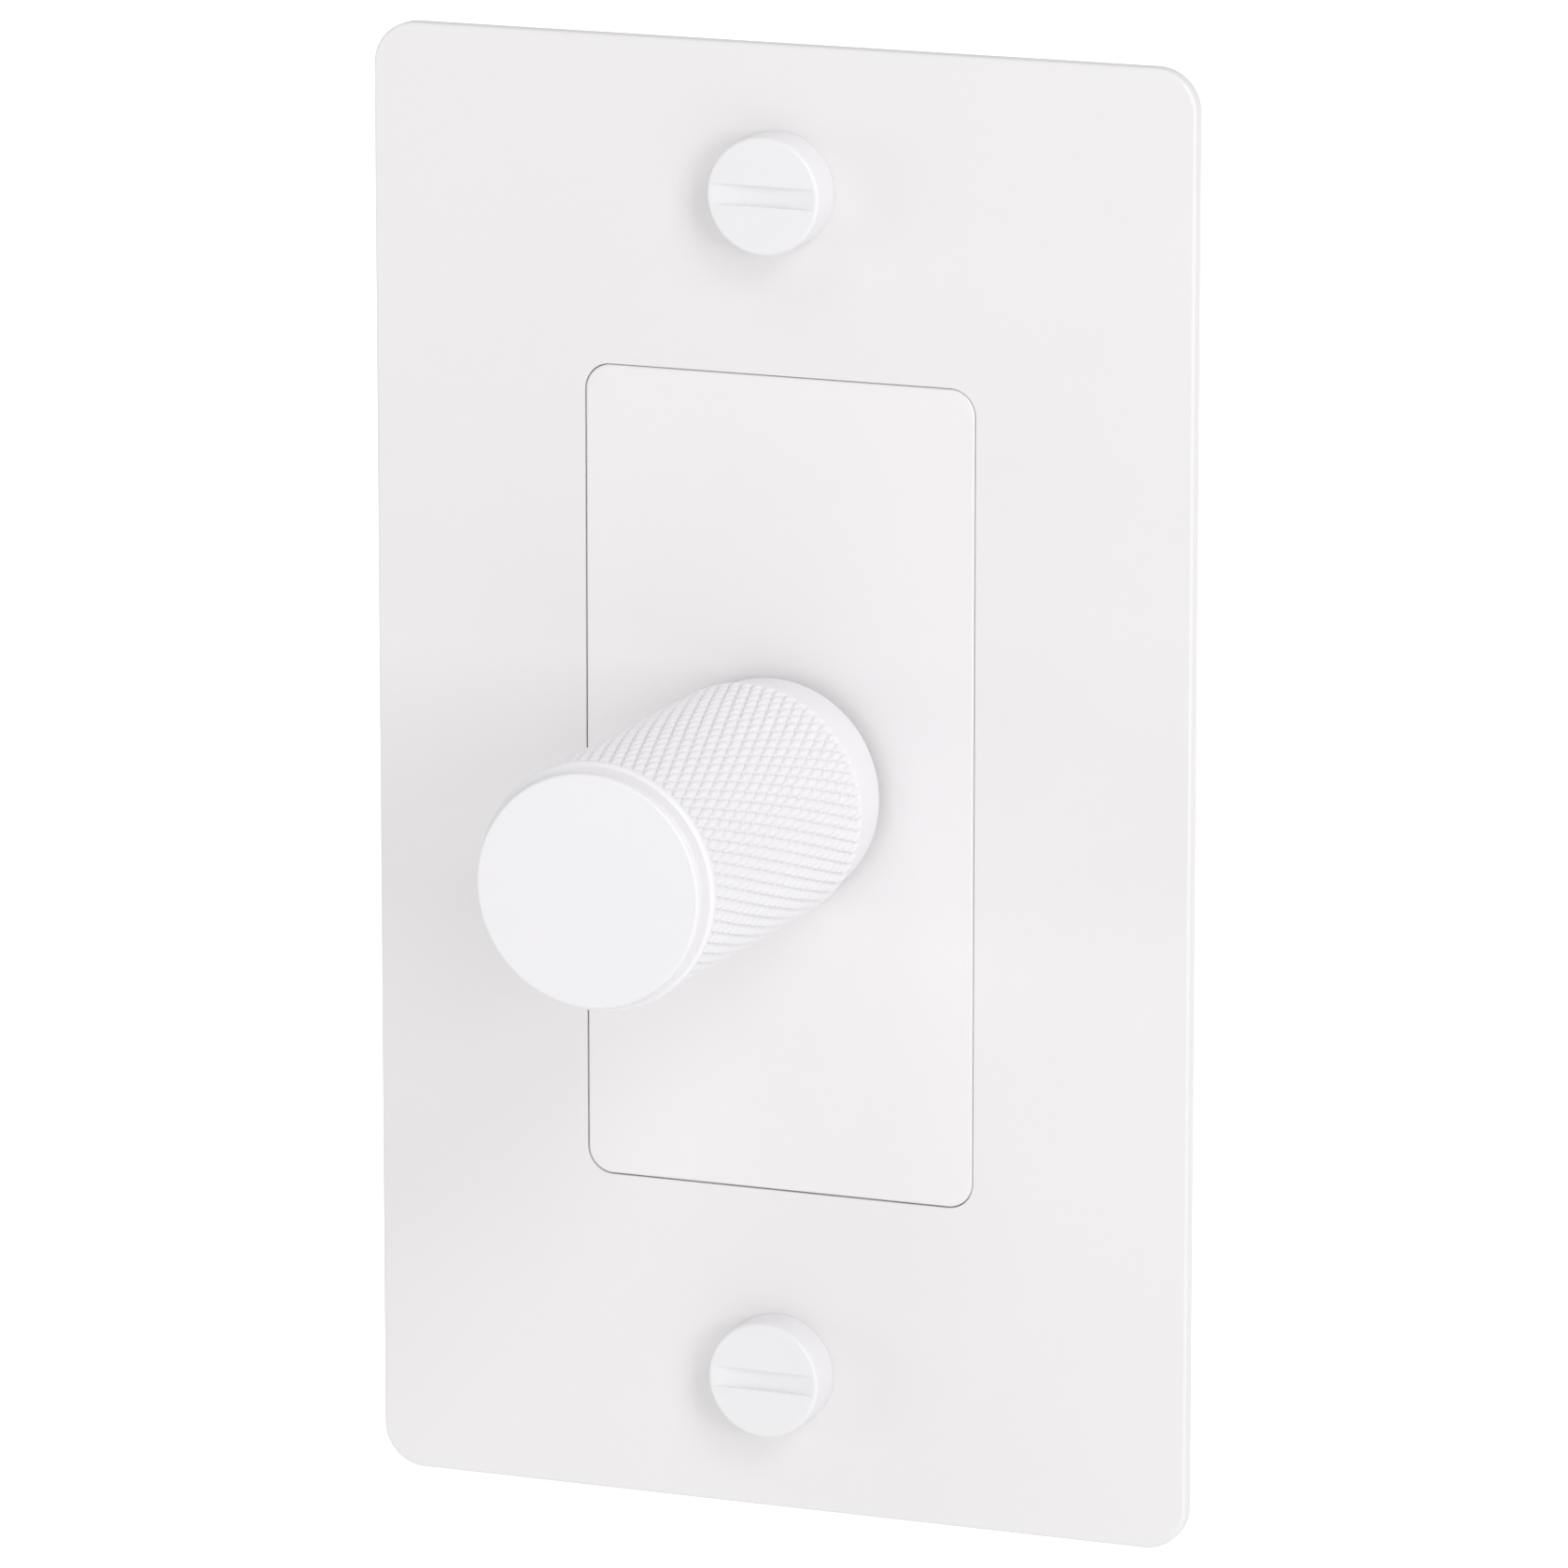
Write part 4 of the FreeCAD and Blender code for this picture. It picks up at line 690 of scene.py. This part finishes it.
def make_knob():
    """Turned knob: a face set off by a groove, diamond knurl between two plain lips, and a reduced neck."""
    front, back = ends("knob_body")
    grip = sizes("knob_body").x / 2
    face = 9.25
    groove = 8.7
    chamfer = 0.25
    neck = 9.2
    pocket = 7.7
    bore = 5.0
    shoulder = front + 1.6
    rear = back - 5.0
    pocket_end = back - 5.5
    bore_end = back - 23.3
    bm = bmesh.new()
    first, last = knurl(bm, grip, shoulder + 0.6, rear - 0.7)
    nose = fillet([
        (0, front), (face, front, 0.25), (face, front + 0.55, 0.12), (groove, front + 0.8, 0.2),
        (groove, shoulder, 0.2), (grip - chamfer, shoulder, 0.1), (grip, shoulder + chamfer, 0.15),
        (grip, shoulder + 0.5),
    ])
    tail = fillet([
        (grip, rear - 0.6), (grip, rear - chamfer, 0.15), (grip - chamfer, rear, 0.1), (neck, rear, 0.1),
        (neck, back, 0.25), (pocket, back, 0.15), (pocket, pocket_end, 0.2), (bore, pocket_end, 0.15),
        (bore, bore_end), (0, bore_end),
    ])
    segments = len(first)
    bridge(bm, [ring(bm, radius, y, segments) for radius, y in nose] + [first])
    bridge(bm, [last] + [ring(bm, radius, y, segments) for radius, y in tail])
    piece("knurled_knob", mesh_of("knurled_knob", bm), "knob", "white_knob", ["knob_body"])


# ---------------------------------------------------------------- fasteners

def outline_cross(reach, arm):
    """A cross recess in X and Z, as a function of how far it is grown, in mm."""
    long = reach / 2
    short = arm / 2
    quarter = [(long, short), (short, short), (short, long)]

    def points(grow=0):
        share = 1 + grow / long
        out = []
        for x, z in ((1, 1), (-1, 1), (-1, -1), (1, -1)):
            corners = [(x * a * share, z * b * share) for a, b in quarter]
            out += corners if x == z else corners[::-1]
        return out

    return points


def recessed(name, profile, threaded, pitch, depth, cutter_outline, cutter_depth, taper):
    """A screw along +Y from y = 0, with a driver recess.  threaded is where its thread starts and ends."""
    start, end = threaded
    shank = profile[-1][0]
    tip = end + 2 * depth
    count = round((end - start) / pitch * 8)
    body = profile + [(shank, y) for y in steps_between(start, end, count)]
    body += [(shank - 2 * depth, tip), (0, tip)]
    blank = mesh_of(name, lathe(bmesh.new(), body, 48, thread(start, end, pitch, depth)))
    bm = bmesh.new()
    for end_ring in wall(bm, cutter_outline, [(-0.5, taper), (cutter_depth, -taper)]):
        cap(bm, end_ring)
    return cut(blank, mesh_of("cutter", bm))


def corner_places(node, inset, y):
    """Places at the corners of a node's pattern.  inset is how far its parts reach past their centres."""
    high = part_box(node)[1] / MM
    x = high.x - inset
    z = high.z - inset
    return [at(side * x, y, up * z) for side in (-1, 1) for up in (-1, 1)]


def make_case_screws():
    """Countersunk machine screws that hold the strap to the housing."""
    front, tail = ends("case_screws")
    head = 2.9
    shank = 1.4
    threaded = (1.7, tail - front - 0.5)
    profile = [(0, 0), (head, 0), (head, 0.08), (shank, head - shank)]
    mesh = recessed("case_fastener", profile, threaded, 0.7, 0.25, outline_cross(3.2, 0.7), 0.8, 0.1)
    places = corner_places("case_screws", head, front)
    piece("case_fasteners", copies(mesh, places), "device", "bright_steel", ["case_screws"])


def make_board_screws():
    """Small pan-head screws that hold the circuit board."""
    front, tail = ends("board_screws")
    head = 2.0
    shank = 1.0
    profile = fillet([(0, 0.12), (1.2, 0), (head, 0.5, 0.4), (head, 1.3), (shank, 1.3), (shank, 1.5)], 4)
    threaded = (1.7, tail - front - 0.44)
    mesh = recessed("board_fastener", profile, threaded, 0.6, 0.22, outline_cross(2.2, 0.7), 0.8, 0.1)
    places = corner_places("board_screws", head, front)
    piece("board_fasteners", copies(mesh, places), "device", "bright_steel", ["board_screws"])


def make_terminal_screws():
    """Slotted binding screws on both sides of the housing."""
    low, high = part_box("terminal_screws")
    reach = high.x / MM
    y = (low.y + high.y) / 2 / MM
    head = 3.5
    shank = 1.75
    z = high.z / MM - head
    profile = fillet([
        (0, 0.02), (2.4, 0, 0.8), (head, 0.7, 0.4), (head, 2.0, 0.1), (shank, 2.0, 0.1), (shank, 2.3),
    ], 4)
    slot = outline_box(0.9, 8.0, 0.05, 2)
    mesh = recessed("binding_screw", profile, (2.3, 7.9), COARSE_PITCH, 0.3, slot, 0.8, 0.02)
    places = [at(reach, y, z, TO_LEFT), at(reach, y, -z, TO_LEFT), at(-reach, y, z, TO_RIGHT)]
    piece("binding_screws", copies(mesh, places), "device", "brass", ["terminal_screws"])


def make_earth_screw():
    """Green slotted screw on the strap's lower tab, driven from behind."""
    centre = middle("earth_screw")
    back = ends("earth_screw")[1]
    head = 3.4
    shank = 1.75
    profile = fillet([
        (0, 0.02), (2.2, 0, 0.8), (head, 0.8, 0.4), (head, 2.2, 0.1), (shank, 2.2), (shank, 2.3),
    ], 4)
    slot = outline_box(8.0, 0.9, 0.05, 2)
    mesh = recessed("earth_fastener", profile, (2.3, 3.0), COARSE_PITCH, 0.3, slot, 0.8, 0.02)
    place = [at(centre.x, back, centre.z, TO_FRONT)]
    piece("earth_fastener", copies(mesh, place), "device", "earth_green", ["earth_screw"])


def make_triac_screw():
    """Small pan-head screw that clamps the triac's tab, driven from behind."""
    centre = middle("triac_screw")
    front, back = ends("triac_screw")
    head = 2.7
    shank = 1.45
    profile = fillet([
        (0, 0.1), (1.6, 0, 0.4), (head, 0.7, 0.5), (head, 1.8, 0.1), (shank, 1.8), (shank, 1.9),
    ], 4)
    cross = outline_cross(3.0, 0.7)
    mesh = recessed("triac_fastener", profile, (2.0, back - front - 0.5), 0.7, 0.25, cross, 0.8, 0.1)
    place = [at(centre.x, back, centre.z, TO_FRONT)]
    piece("triac_fastener", copies(mesh, place), "device", "bright_steel", ["triac_screw"])


def make_bush():
    """Threaded bush with a relief behind the thread and a broad flange."""
    front, back = ends("shaft_bush")
    flange = sizes("shaft_bush").x / 2
    outer = 4.75
    relief = outer - 0.4
    bore = 3.04
    chamfer = 0.2
    seat = back - 2.0
    first = front + 0.4
    last = seat - 0.7
    profile = [(bore, back - chamfer), (bore, front + chamfer), (bore + chamfer, front), (relief, front)]
    profile += [(outer, y) for y in steps_between(first, last, 70)]
    profile += fillet([
        (outer, last), (relief, seat - 0.5), (relief, seat), (flange, seat, 0.15),
        (flange, back, 0.15), (bore + chamfer, back),
    ], 4)
    bm = lathe(bmesh.new(), profile, 96, thread(first, last, 0.75, 0.34))
    piece("threaded_bush", mesh_of("threaded_bush", bm), "device", "brass", ["shaft_bush"])


# ---------------------------------------------------------------- inside the housing

HELIX_STEPS = 36        # points in one turn


def helix(turn_radius, start, end, turns, along, centre=(0, 0, 0)):
    """Points on a helix in mm about the Y or X axis."""
    out = []
    steps = turns * HELIX_STEPS
    for step in range(steps + 1):
        angle = TAU * step / HELIX_STEPS
        far = start + (end - start) * step / steps
        a = turn_radius * math.cos(angle)
        b = turn_radius * math.sin(angle)
        point = Vector((a, far, b)) if along == "y" else Vector((far, a, b))
        out.append(point + Vector(centre))
    return out


def make_return_spring():
    """Compression spring with a closed turn at each end, drawn at one length.  The real spring shortens as
    the plunger goes in.
    """
    front, back = ends("switch_spring")
    wire = 0.2
    coil = sizes("switch_spring").x / 2 - wire
    dead = 2.1 * wire
    live_turns = 6
    first = front + wire
    last = back - wire
    points = helix(coil, first, first + dead, 1, "y")
    points += helix(coil, first + dead, last - dead, live_turns, "y")[1:]
    points += helix(coil, last - dead, last, 1, "y")[1:]
    mesh = mesh_of("return_spring", tube(points, wire, 12))
    spring = piece("return_spring", mesh, "device", "bright_steel", ["switch_spring"])
    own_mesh(spring)


def make_choke_winding():
    """Enamelled wire in two layers on the drum core, with its tails taken to the board."""
    low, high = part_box("choke_winding")
    core = middle("choke_core")
    wire = 0.3
    outer = (high.z - low.z) / MM / 2 - wire
    start = low.x / MM + wire
    end = high.x / MM - wire
    turns = 26
    tail_reach = 7.0
    centre = (0, core.y, core.z)
    under = helix(outer - 1.8 * wire, start, end, turns, "x", centre)
    over = helix(outer, start, end, turns, "x", centre)
    bm = bmesh.new()
    for layer in (under, over):
        bm.from_mesh(mesh_of("layer", tube(layer, wire, 8)))
    for side in (-1, 1):
        x = core.x + side * tail_reach
        leaves = core.y + outer
        tail = [(x, leaves - 0.4, core.z), (x, leaves + 0.5, core.z), (x, high.y / MM, core.z)]
        bm.from_mesh(mesh_of("tail", tube(tail, wire, 10)))
    piece("choke_wire", mesh_of("choke_wire", bm), "device", "copper", ["choke_winding"])


def make_fuse():
    """Round fuse cap with a domed top and a seam above its base."""
    front = ends("fuse_body")[0]
    radius = sizes("fuse_body").x / 2
    length = sizes("fuse_body").y
    seam = radius - 0.25
    centre = middle("fuse_body")
    profile = fillet([
        (0, 0), (radius - 0.7, 0.12, 1.0), (radius - 0.15, 0.8, 0.6), (radius - 0.05, length - 1.7),
        (seam, length - 1.6), (seam, length - 1.35), (radius, length - 1.3), (radius, length, 0.2),
        (0, length),
    ], 5)
    bm = lathe(bmesh.new(), profile, 72, place=at(centre.x, front, centre.z))
    piece("fuse_cap", mesh_of("fuse_cap", bm), "device", "fuse_black", ["fuse_body"])


def make_disc_capacitors():
    """Dipped discs, thicker in the middle, with the coating run down over the leads."""
    low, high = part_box("disc_capacitors")
    radius = (high.x - low.x) / MM / 2
    x = (low.x + high.x) / MM / 2
    y = (low.y + high.y) / MM / 2
    half = 1.1
    steps = 12
    roundness = 0.55
    lead_reach = 2.5
    profile = [(0, -half)]
    for step in range(1, steps):
        angle = math.pi * step / steps
        profile.append((radius * math.sin(angle) ** roundness, -half * math.cos(angle)))
    profile.append((0, half))
    skirt = fillet([(0, 1.3), (0.55, 1.3), (0.5, 2.6, 0.3), (0.32, 3.5), (0, 3.5)], 3)
    bm = bmesh.new()
    for z in (low.z / MM + half, high.z / MM - half):
        lathe(bm, profile, 60, place=at(x, y, z, TO_TOP))
        for side in (-1, 1):
            lathe(bm, skirt, 20, place=at(x + side * lead_reach, y, z))
    piece("dipped_discs", mesh_of("dipped_discs", bm), "device", "ceramic_blue", ["disc_capacitors"])


def striped(mesh, length, z_centres, stripes):
    """Paints each face by how far along the body it lies.  Each stripe is (from, to, paint's number)."""
    for face in mesh.polygons:
        z = face.center.z / MM
        centre = min(z_centres, key=lambda place: abs(place - z))
        share = (z - centre) / length + 0.5
        for start, end, number in stripes:
            if start < share < end:
                face.material_index = number


def paint(name, colour):
    """Glossy lacquer for one colour band."""
    return plastic(name, colour, 0.3, 2.0, 0.006)


def make_resistors():
    """Dog-bone resistors with four colour bands."""
    low, high = [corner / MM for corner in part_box("resistor_bodies")]
    length = 6.4
    end = length / 2
    spacing = 3.6
    bulge = 1.1
    waist = 0.93
    y = (low.y + high.y) / 2
    low_z = low.z + end
    high_z = high.z - end
    profile = fillet([
        (0, -end), (0.8, -end, 0.3), (bulge, -end + 0.5, 0.3), (bulge, -end + 1.2, 0.3), (waist, -1.8),
    ], 4)
    profile += [(waist, along) for along in steps_between(-1.6, 1.6, 32)]
    profile += fillet([
        (waist, 1.8), (bulge, end - 1.2, 0.3), (bulge, end - 0.5, 0.3), (0.8, end, 0.3), (0, end),
    ], 4)
    bm = bmesh.new()
    left = low.x + bulge
    for x, z in ((left + spacing, low_z), (left, low_z), (high.x - bulge, high_z)):
        lathe(bm, profile, 32, place=at(x, y, z, TO_TOP))
    mesh = mesh_of("banded_resistors", bm)
    stripes = [(0.12, 0.2, 1), (0.33, 0.41, 2), (0.49, 0.57, 3), (0.65, 0.73, 4)]
    striped(mesh, length, (low_z, high_z), stripes)
    paints = [
        paint("band_yellow", (0.72, 0.5, 0.02)), paint("band_violet", (0.16, 0.04, 0.3)),
        paint("band_orange", (0.75, 0.18, 0.01)), paint("band_gold", (0.45, 0.3, 0.08)),
    ]
    piece("banded_resistors", mesh, "device", "resistor_body", ["resistor_bodies"], paints)


def make_diac():
    """Lacquered glass body with rounded ends and one pale band."""
    centre = middle("diac_bodies")
    length = sizes("diac_bodies").z
    end = length / 2
    radius = 0.9
    profile = fillet([(0, -end), (radius, -end, 0.6), (radius, -1.2)], 6)
    profile += [(radius, along) for along in steps_between(-1.1, 1.1, 22)]
    profile += fillet([(radius, 1.2), (radius, end, 0.6), (0, end)], 6)
    bm = lathe(bmesh.new(), profile, 32, place=at(centre.x, centre.y, centre.z, TO_TOP))
    mesh = mesh_of("glass_diac", bm)
    striped(mesh, length, (centre.z,), [(0.6, 0.7, 1)])
    band = paint("band_pale", (0.6, 0.6, 0.58))
    piece("glass_diac", mesh, "device", "diac_glass", ["diac_bodies"], [band])


def make_triac_body():
    """Moulded package with draft on its sides, a mould-pin dimple and a lip round the tab."""
    front, back = ends("triac_body")
    centre = middle("triac_body")
    size = sizes("triac_body")

    outline = outline_box(size.x, size.z, 0.5, 6)

    def shifted(grow=0):
        return [(x + centre.x, z + centre.z) for x, z in outline(grow)]

    bm = bmesh.new()
    levels = [(front, -0.12), (front + 0.6, 0), (back - 0.3, -0.3), (back - 0.08, -0.36), (back, -0.46)]
    pin = outline_round(1.3, centre.x, centre.z - 1.5, 40)
    rim = wall(bm, shifted, levels)
    dimple = wall(bm, pin, [(back, 0), (back - 0.2, -0.1)])
    cap(bm, rim[0])
    cap(bm, rim[1], dimple[0])
    cap(bm, dimple[1])
    piece("triac_package", mesh_of("triac_package", bm), "device", "epoxy_black", ["triac_body"])


def lead_tips():
    """Where leads and tags come through the board: the centres of their end faces."""
    longest = 2 * MM
    flat = 0.01 * MM
    widest = 1.5 * MM
    tips = []
    board_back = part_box("circuit_board")[1].y
    for node, thing in frame["nodes"].items():
        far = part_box(node)[1].y
        if not board_back < far < board_back + longest:
            continue
        for vertex in thing.data.vertices:
            if vertex.co.y < far - flat:
                continue
            near = next((tip for tip in tips if (tip[0] - vertex.co).length < widest), None)
            if near:
                near.append(vertex.co.copy())
            else:
                tips.append([vertex.co.copy()])
    return [sum(tip, Vector()) / len(tip) for tip in tips]


def make_solder():
    """A fillet of solder round each lead, on the back of the board."""
    board = ends("circuit_board")[1]
    profile = [
        (0, 0), (1.15, 0), (1.12, 0.06), (0.85, 0.16),
        (0.62, 0.36), (0.5, 0.62), (0.42, 0.85), (0, 0.9),
    ]
    bm = bmesh.new()
    for tip in lead_tips():
        lathe(bm, profile, 24, place=at(tip.x / MM, board, tip.z / MM))
    piece("solder_joints", mesh_of("solder_joints", bm), "device", "tinned")


make_face_plate()
make_centre_plate()
make_coin_screws()
make_knob()
make_case_screws()
make_board_screws()
make_terminal_screws()
make_earth_screw()
make_triac_screw()
make_bush()
make_return_spring()
make_choke_winding()
make_fuse()
make_disc_capacitors()
make_resistors()
make_diac()
make_triac_body()
make_solder()


# ---------------------------------------------------------------- stage, light and camera

FLOOR_GLOW = 0.18       # a little light of its own keeps the floor white
BOX_SIZE = 0.35         # width of each soft light, in metres
BOX_DISTANCE = 1.1      # from the origin to each soft light, in metres
SPOT_PLACE = (-0.38, 0.98, 1.1)
CAMERA_AIM = (0.00044, -0.0014, 0.00027)


def make_floor(drop):
    """A wide pale floor below the object, in metres."""
    bpy.ops.mesh.primitive_plane_add(size=12, location=(0, 0, drop))
    floor = bpy.context.object
    floor.name = "floor"
    white = rgb(1.0, 1.0, 1.0)
    made = Shader("pale_floor", Specular_IOR_Level=0.2, Emission_Color=white, Emission_Strength=FLOOR_GLOW)
    made.colour(made.blend(made.noise(0.004, 3.0), rgb(0.84, 0.84, 0.84), rgb(0.86, 0.86, 0.86)))
    made.rough(0.9)
    floor.data.materials.append(made.material)


def make_world(light, seen):
    """An even white room.  What the camera sees of it directly is brighter than the light it gives."""
    world = bpy.data.worlds.new("white_room")
    scene.world = world
    world.use_nodes = True
    tree = world.node_tree
    path = tree.nodes.new("ShaderNodeLightPath")
    ramp = tree.nodes.new("ShaderNodeMapRange")
    tree.links.new(path.outputs["Is Camera Ray"], ramp.inputs[0])
    ramp.inputs["To Min"].default_value = light
    ramp.inputs["To Max"].default_value = seen
    background = tree.nodes["Background"]
    background.inputs["Color"].default_value = rgb(1.0, 1.0, 1.0)
    tree.links.new(ramp.outputs[0], background.inputs["Strength"])


def away(azimuth, elevation):
    """A direction from the object, in degrees.  Azimuth 0 is in front, and 90 on the right."""
    a = math.radians(azimuth)
    e = math.radians(elevation)
    return Vector((math.sin(a) * math.cos(e), -math.cos(a) * math.cos(e), math.sin(e)))


def spot_light(name, place, angle, power):
    """A soft-edged spot that shines straight down on the floor behind the object."""
    light = bpy.data.lights.new(name, "SPOT")
    light.energy = power
    light.spot_size = math.radians(angle)
    light.spot_blend = 0.6
    light.shadow_soft_size = 0.1
    thing = bpy.data.objects.new(name, light)
    thing.location = place
    scene.collection.objects.link(thing)


def soft_box(name, azimuth, elevation, power):
    """A square light in a direction from the object, turned towards it."""
    light = bpy.data.lights.new(name, "AREA")
    light.shape = "SQUARE"
    light.size = BOX_SIZE
    light.energy = power
    thing = bpy.data.objects.new(name, light)
    thing.location = away(azimuth, elevation) * BOX_DISTANCE
    thing.rotation_euler = away(azimuth, elevation).to_track_quat("Z", "Y").to_euler()
    scene.collection.objects.link(thing)


def make_camera(azimuth, elevation, distance, lens, aim):
    """A camera in a direction from the point it looks at, with its lens in mm."""
    data = bpy.data.cameras.new("camera")
    data.lens = lens
    data.sensor_width = 36
    data.clip_start = 0.01
    data.clip_end = 50
    thing = bpy.data.objects.new("camera", data)
    thing.location = Vector(aim) + away(azimuth, elevation) * distance
    thing.rotation_euler = away(azimuth, elevation).to_track_quat("Z", "Y").to_euler()
    scene.collection.objects.link(thing)
    scene.camera = thing


make_floor(drop=-0.18)
make_world(light=0.605, seen=1.0)
soft_box("key_front", azimuth=45, elevation=10, power=2.42)
soft_box("key_high", azimuth=45, elevation=35, power=1.88)
soft_box("rim_right", azimuth=95, elevation=35, power=0.78)
soft_box("fill_left", azimuth=-65, elevation=0, power=0.88)
soft_box("top_left", azimuth=-20, elevation=60, power=0.68)
spot_light("floor_light", SPOT_PLACE, angle=72, power=60.0)
make_camera(azimuth=21.84, elevation=12.65, distance=0.8935, lens=256.2, aim=CAMERA_AIM)
scene.view_settings.view_transform = "Standard"
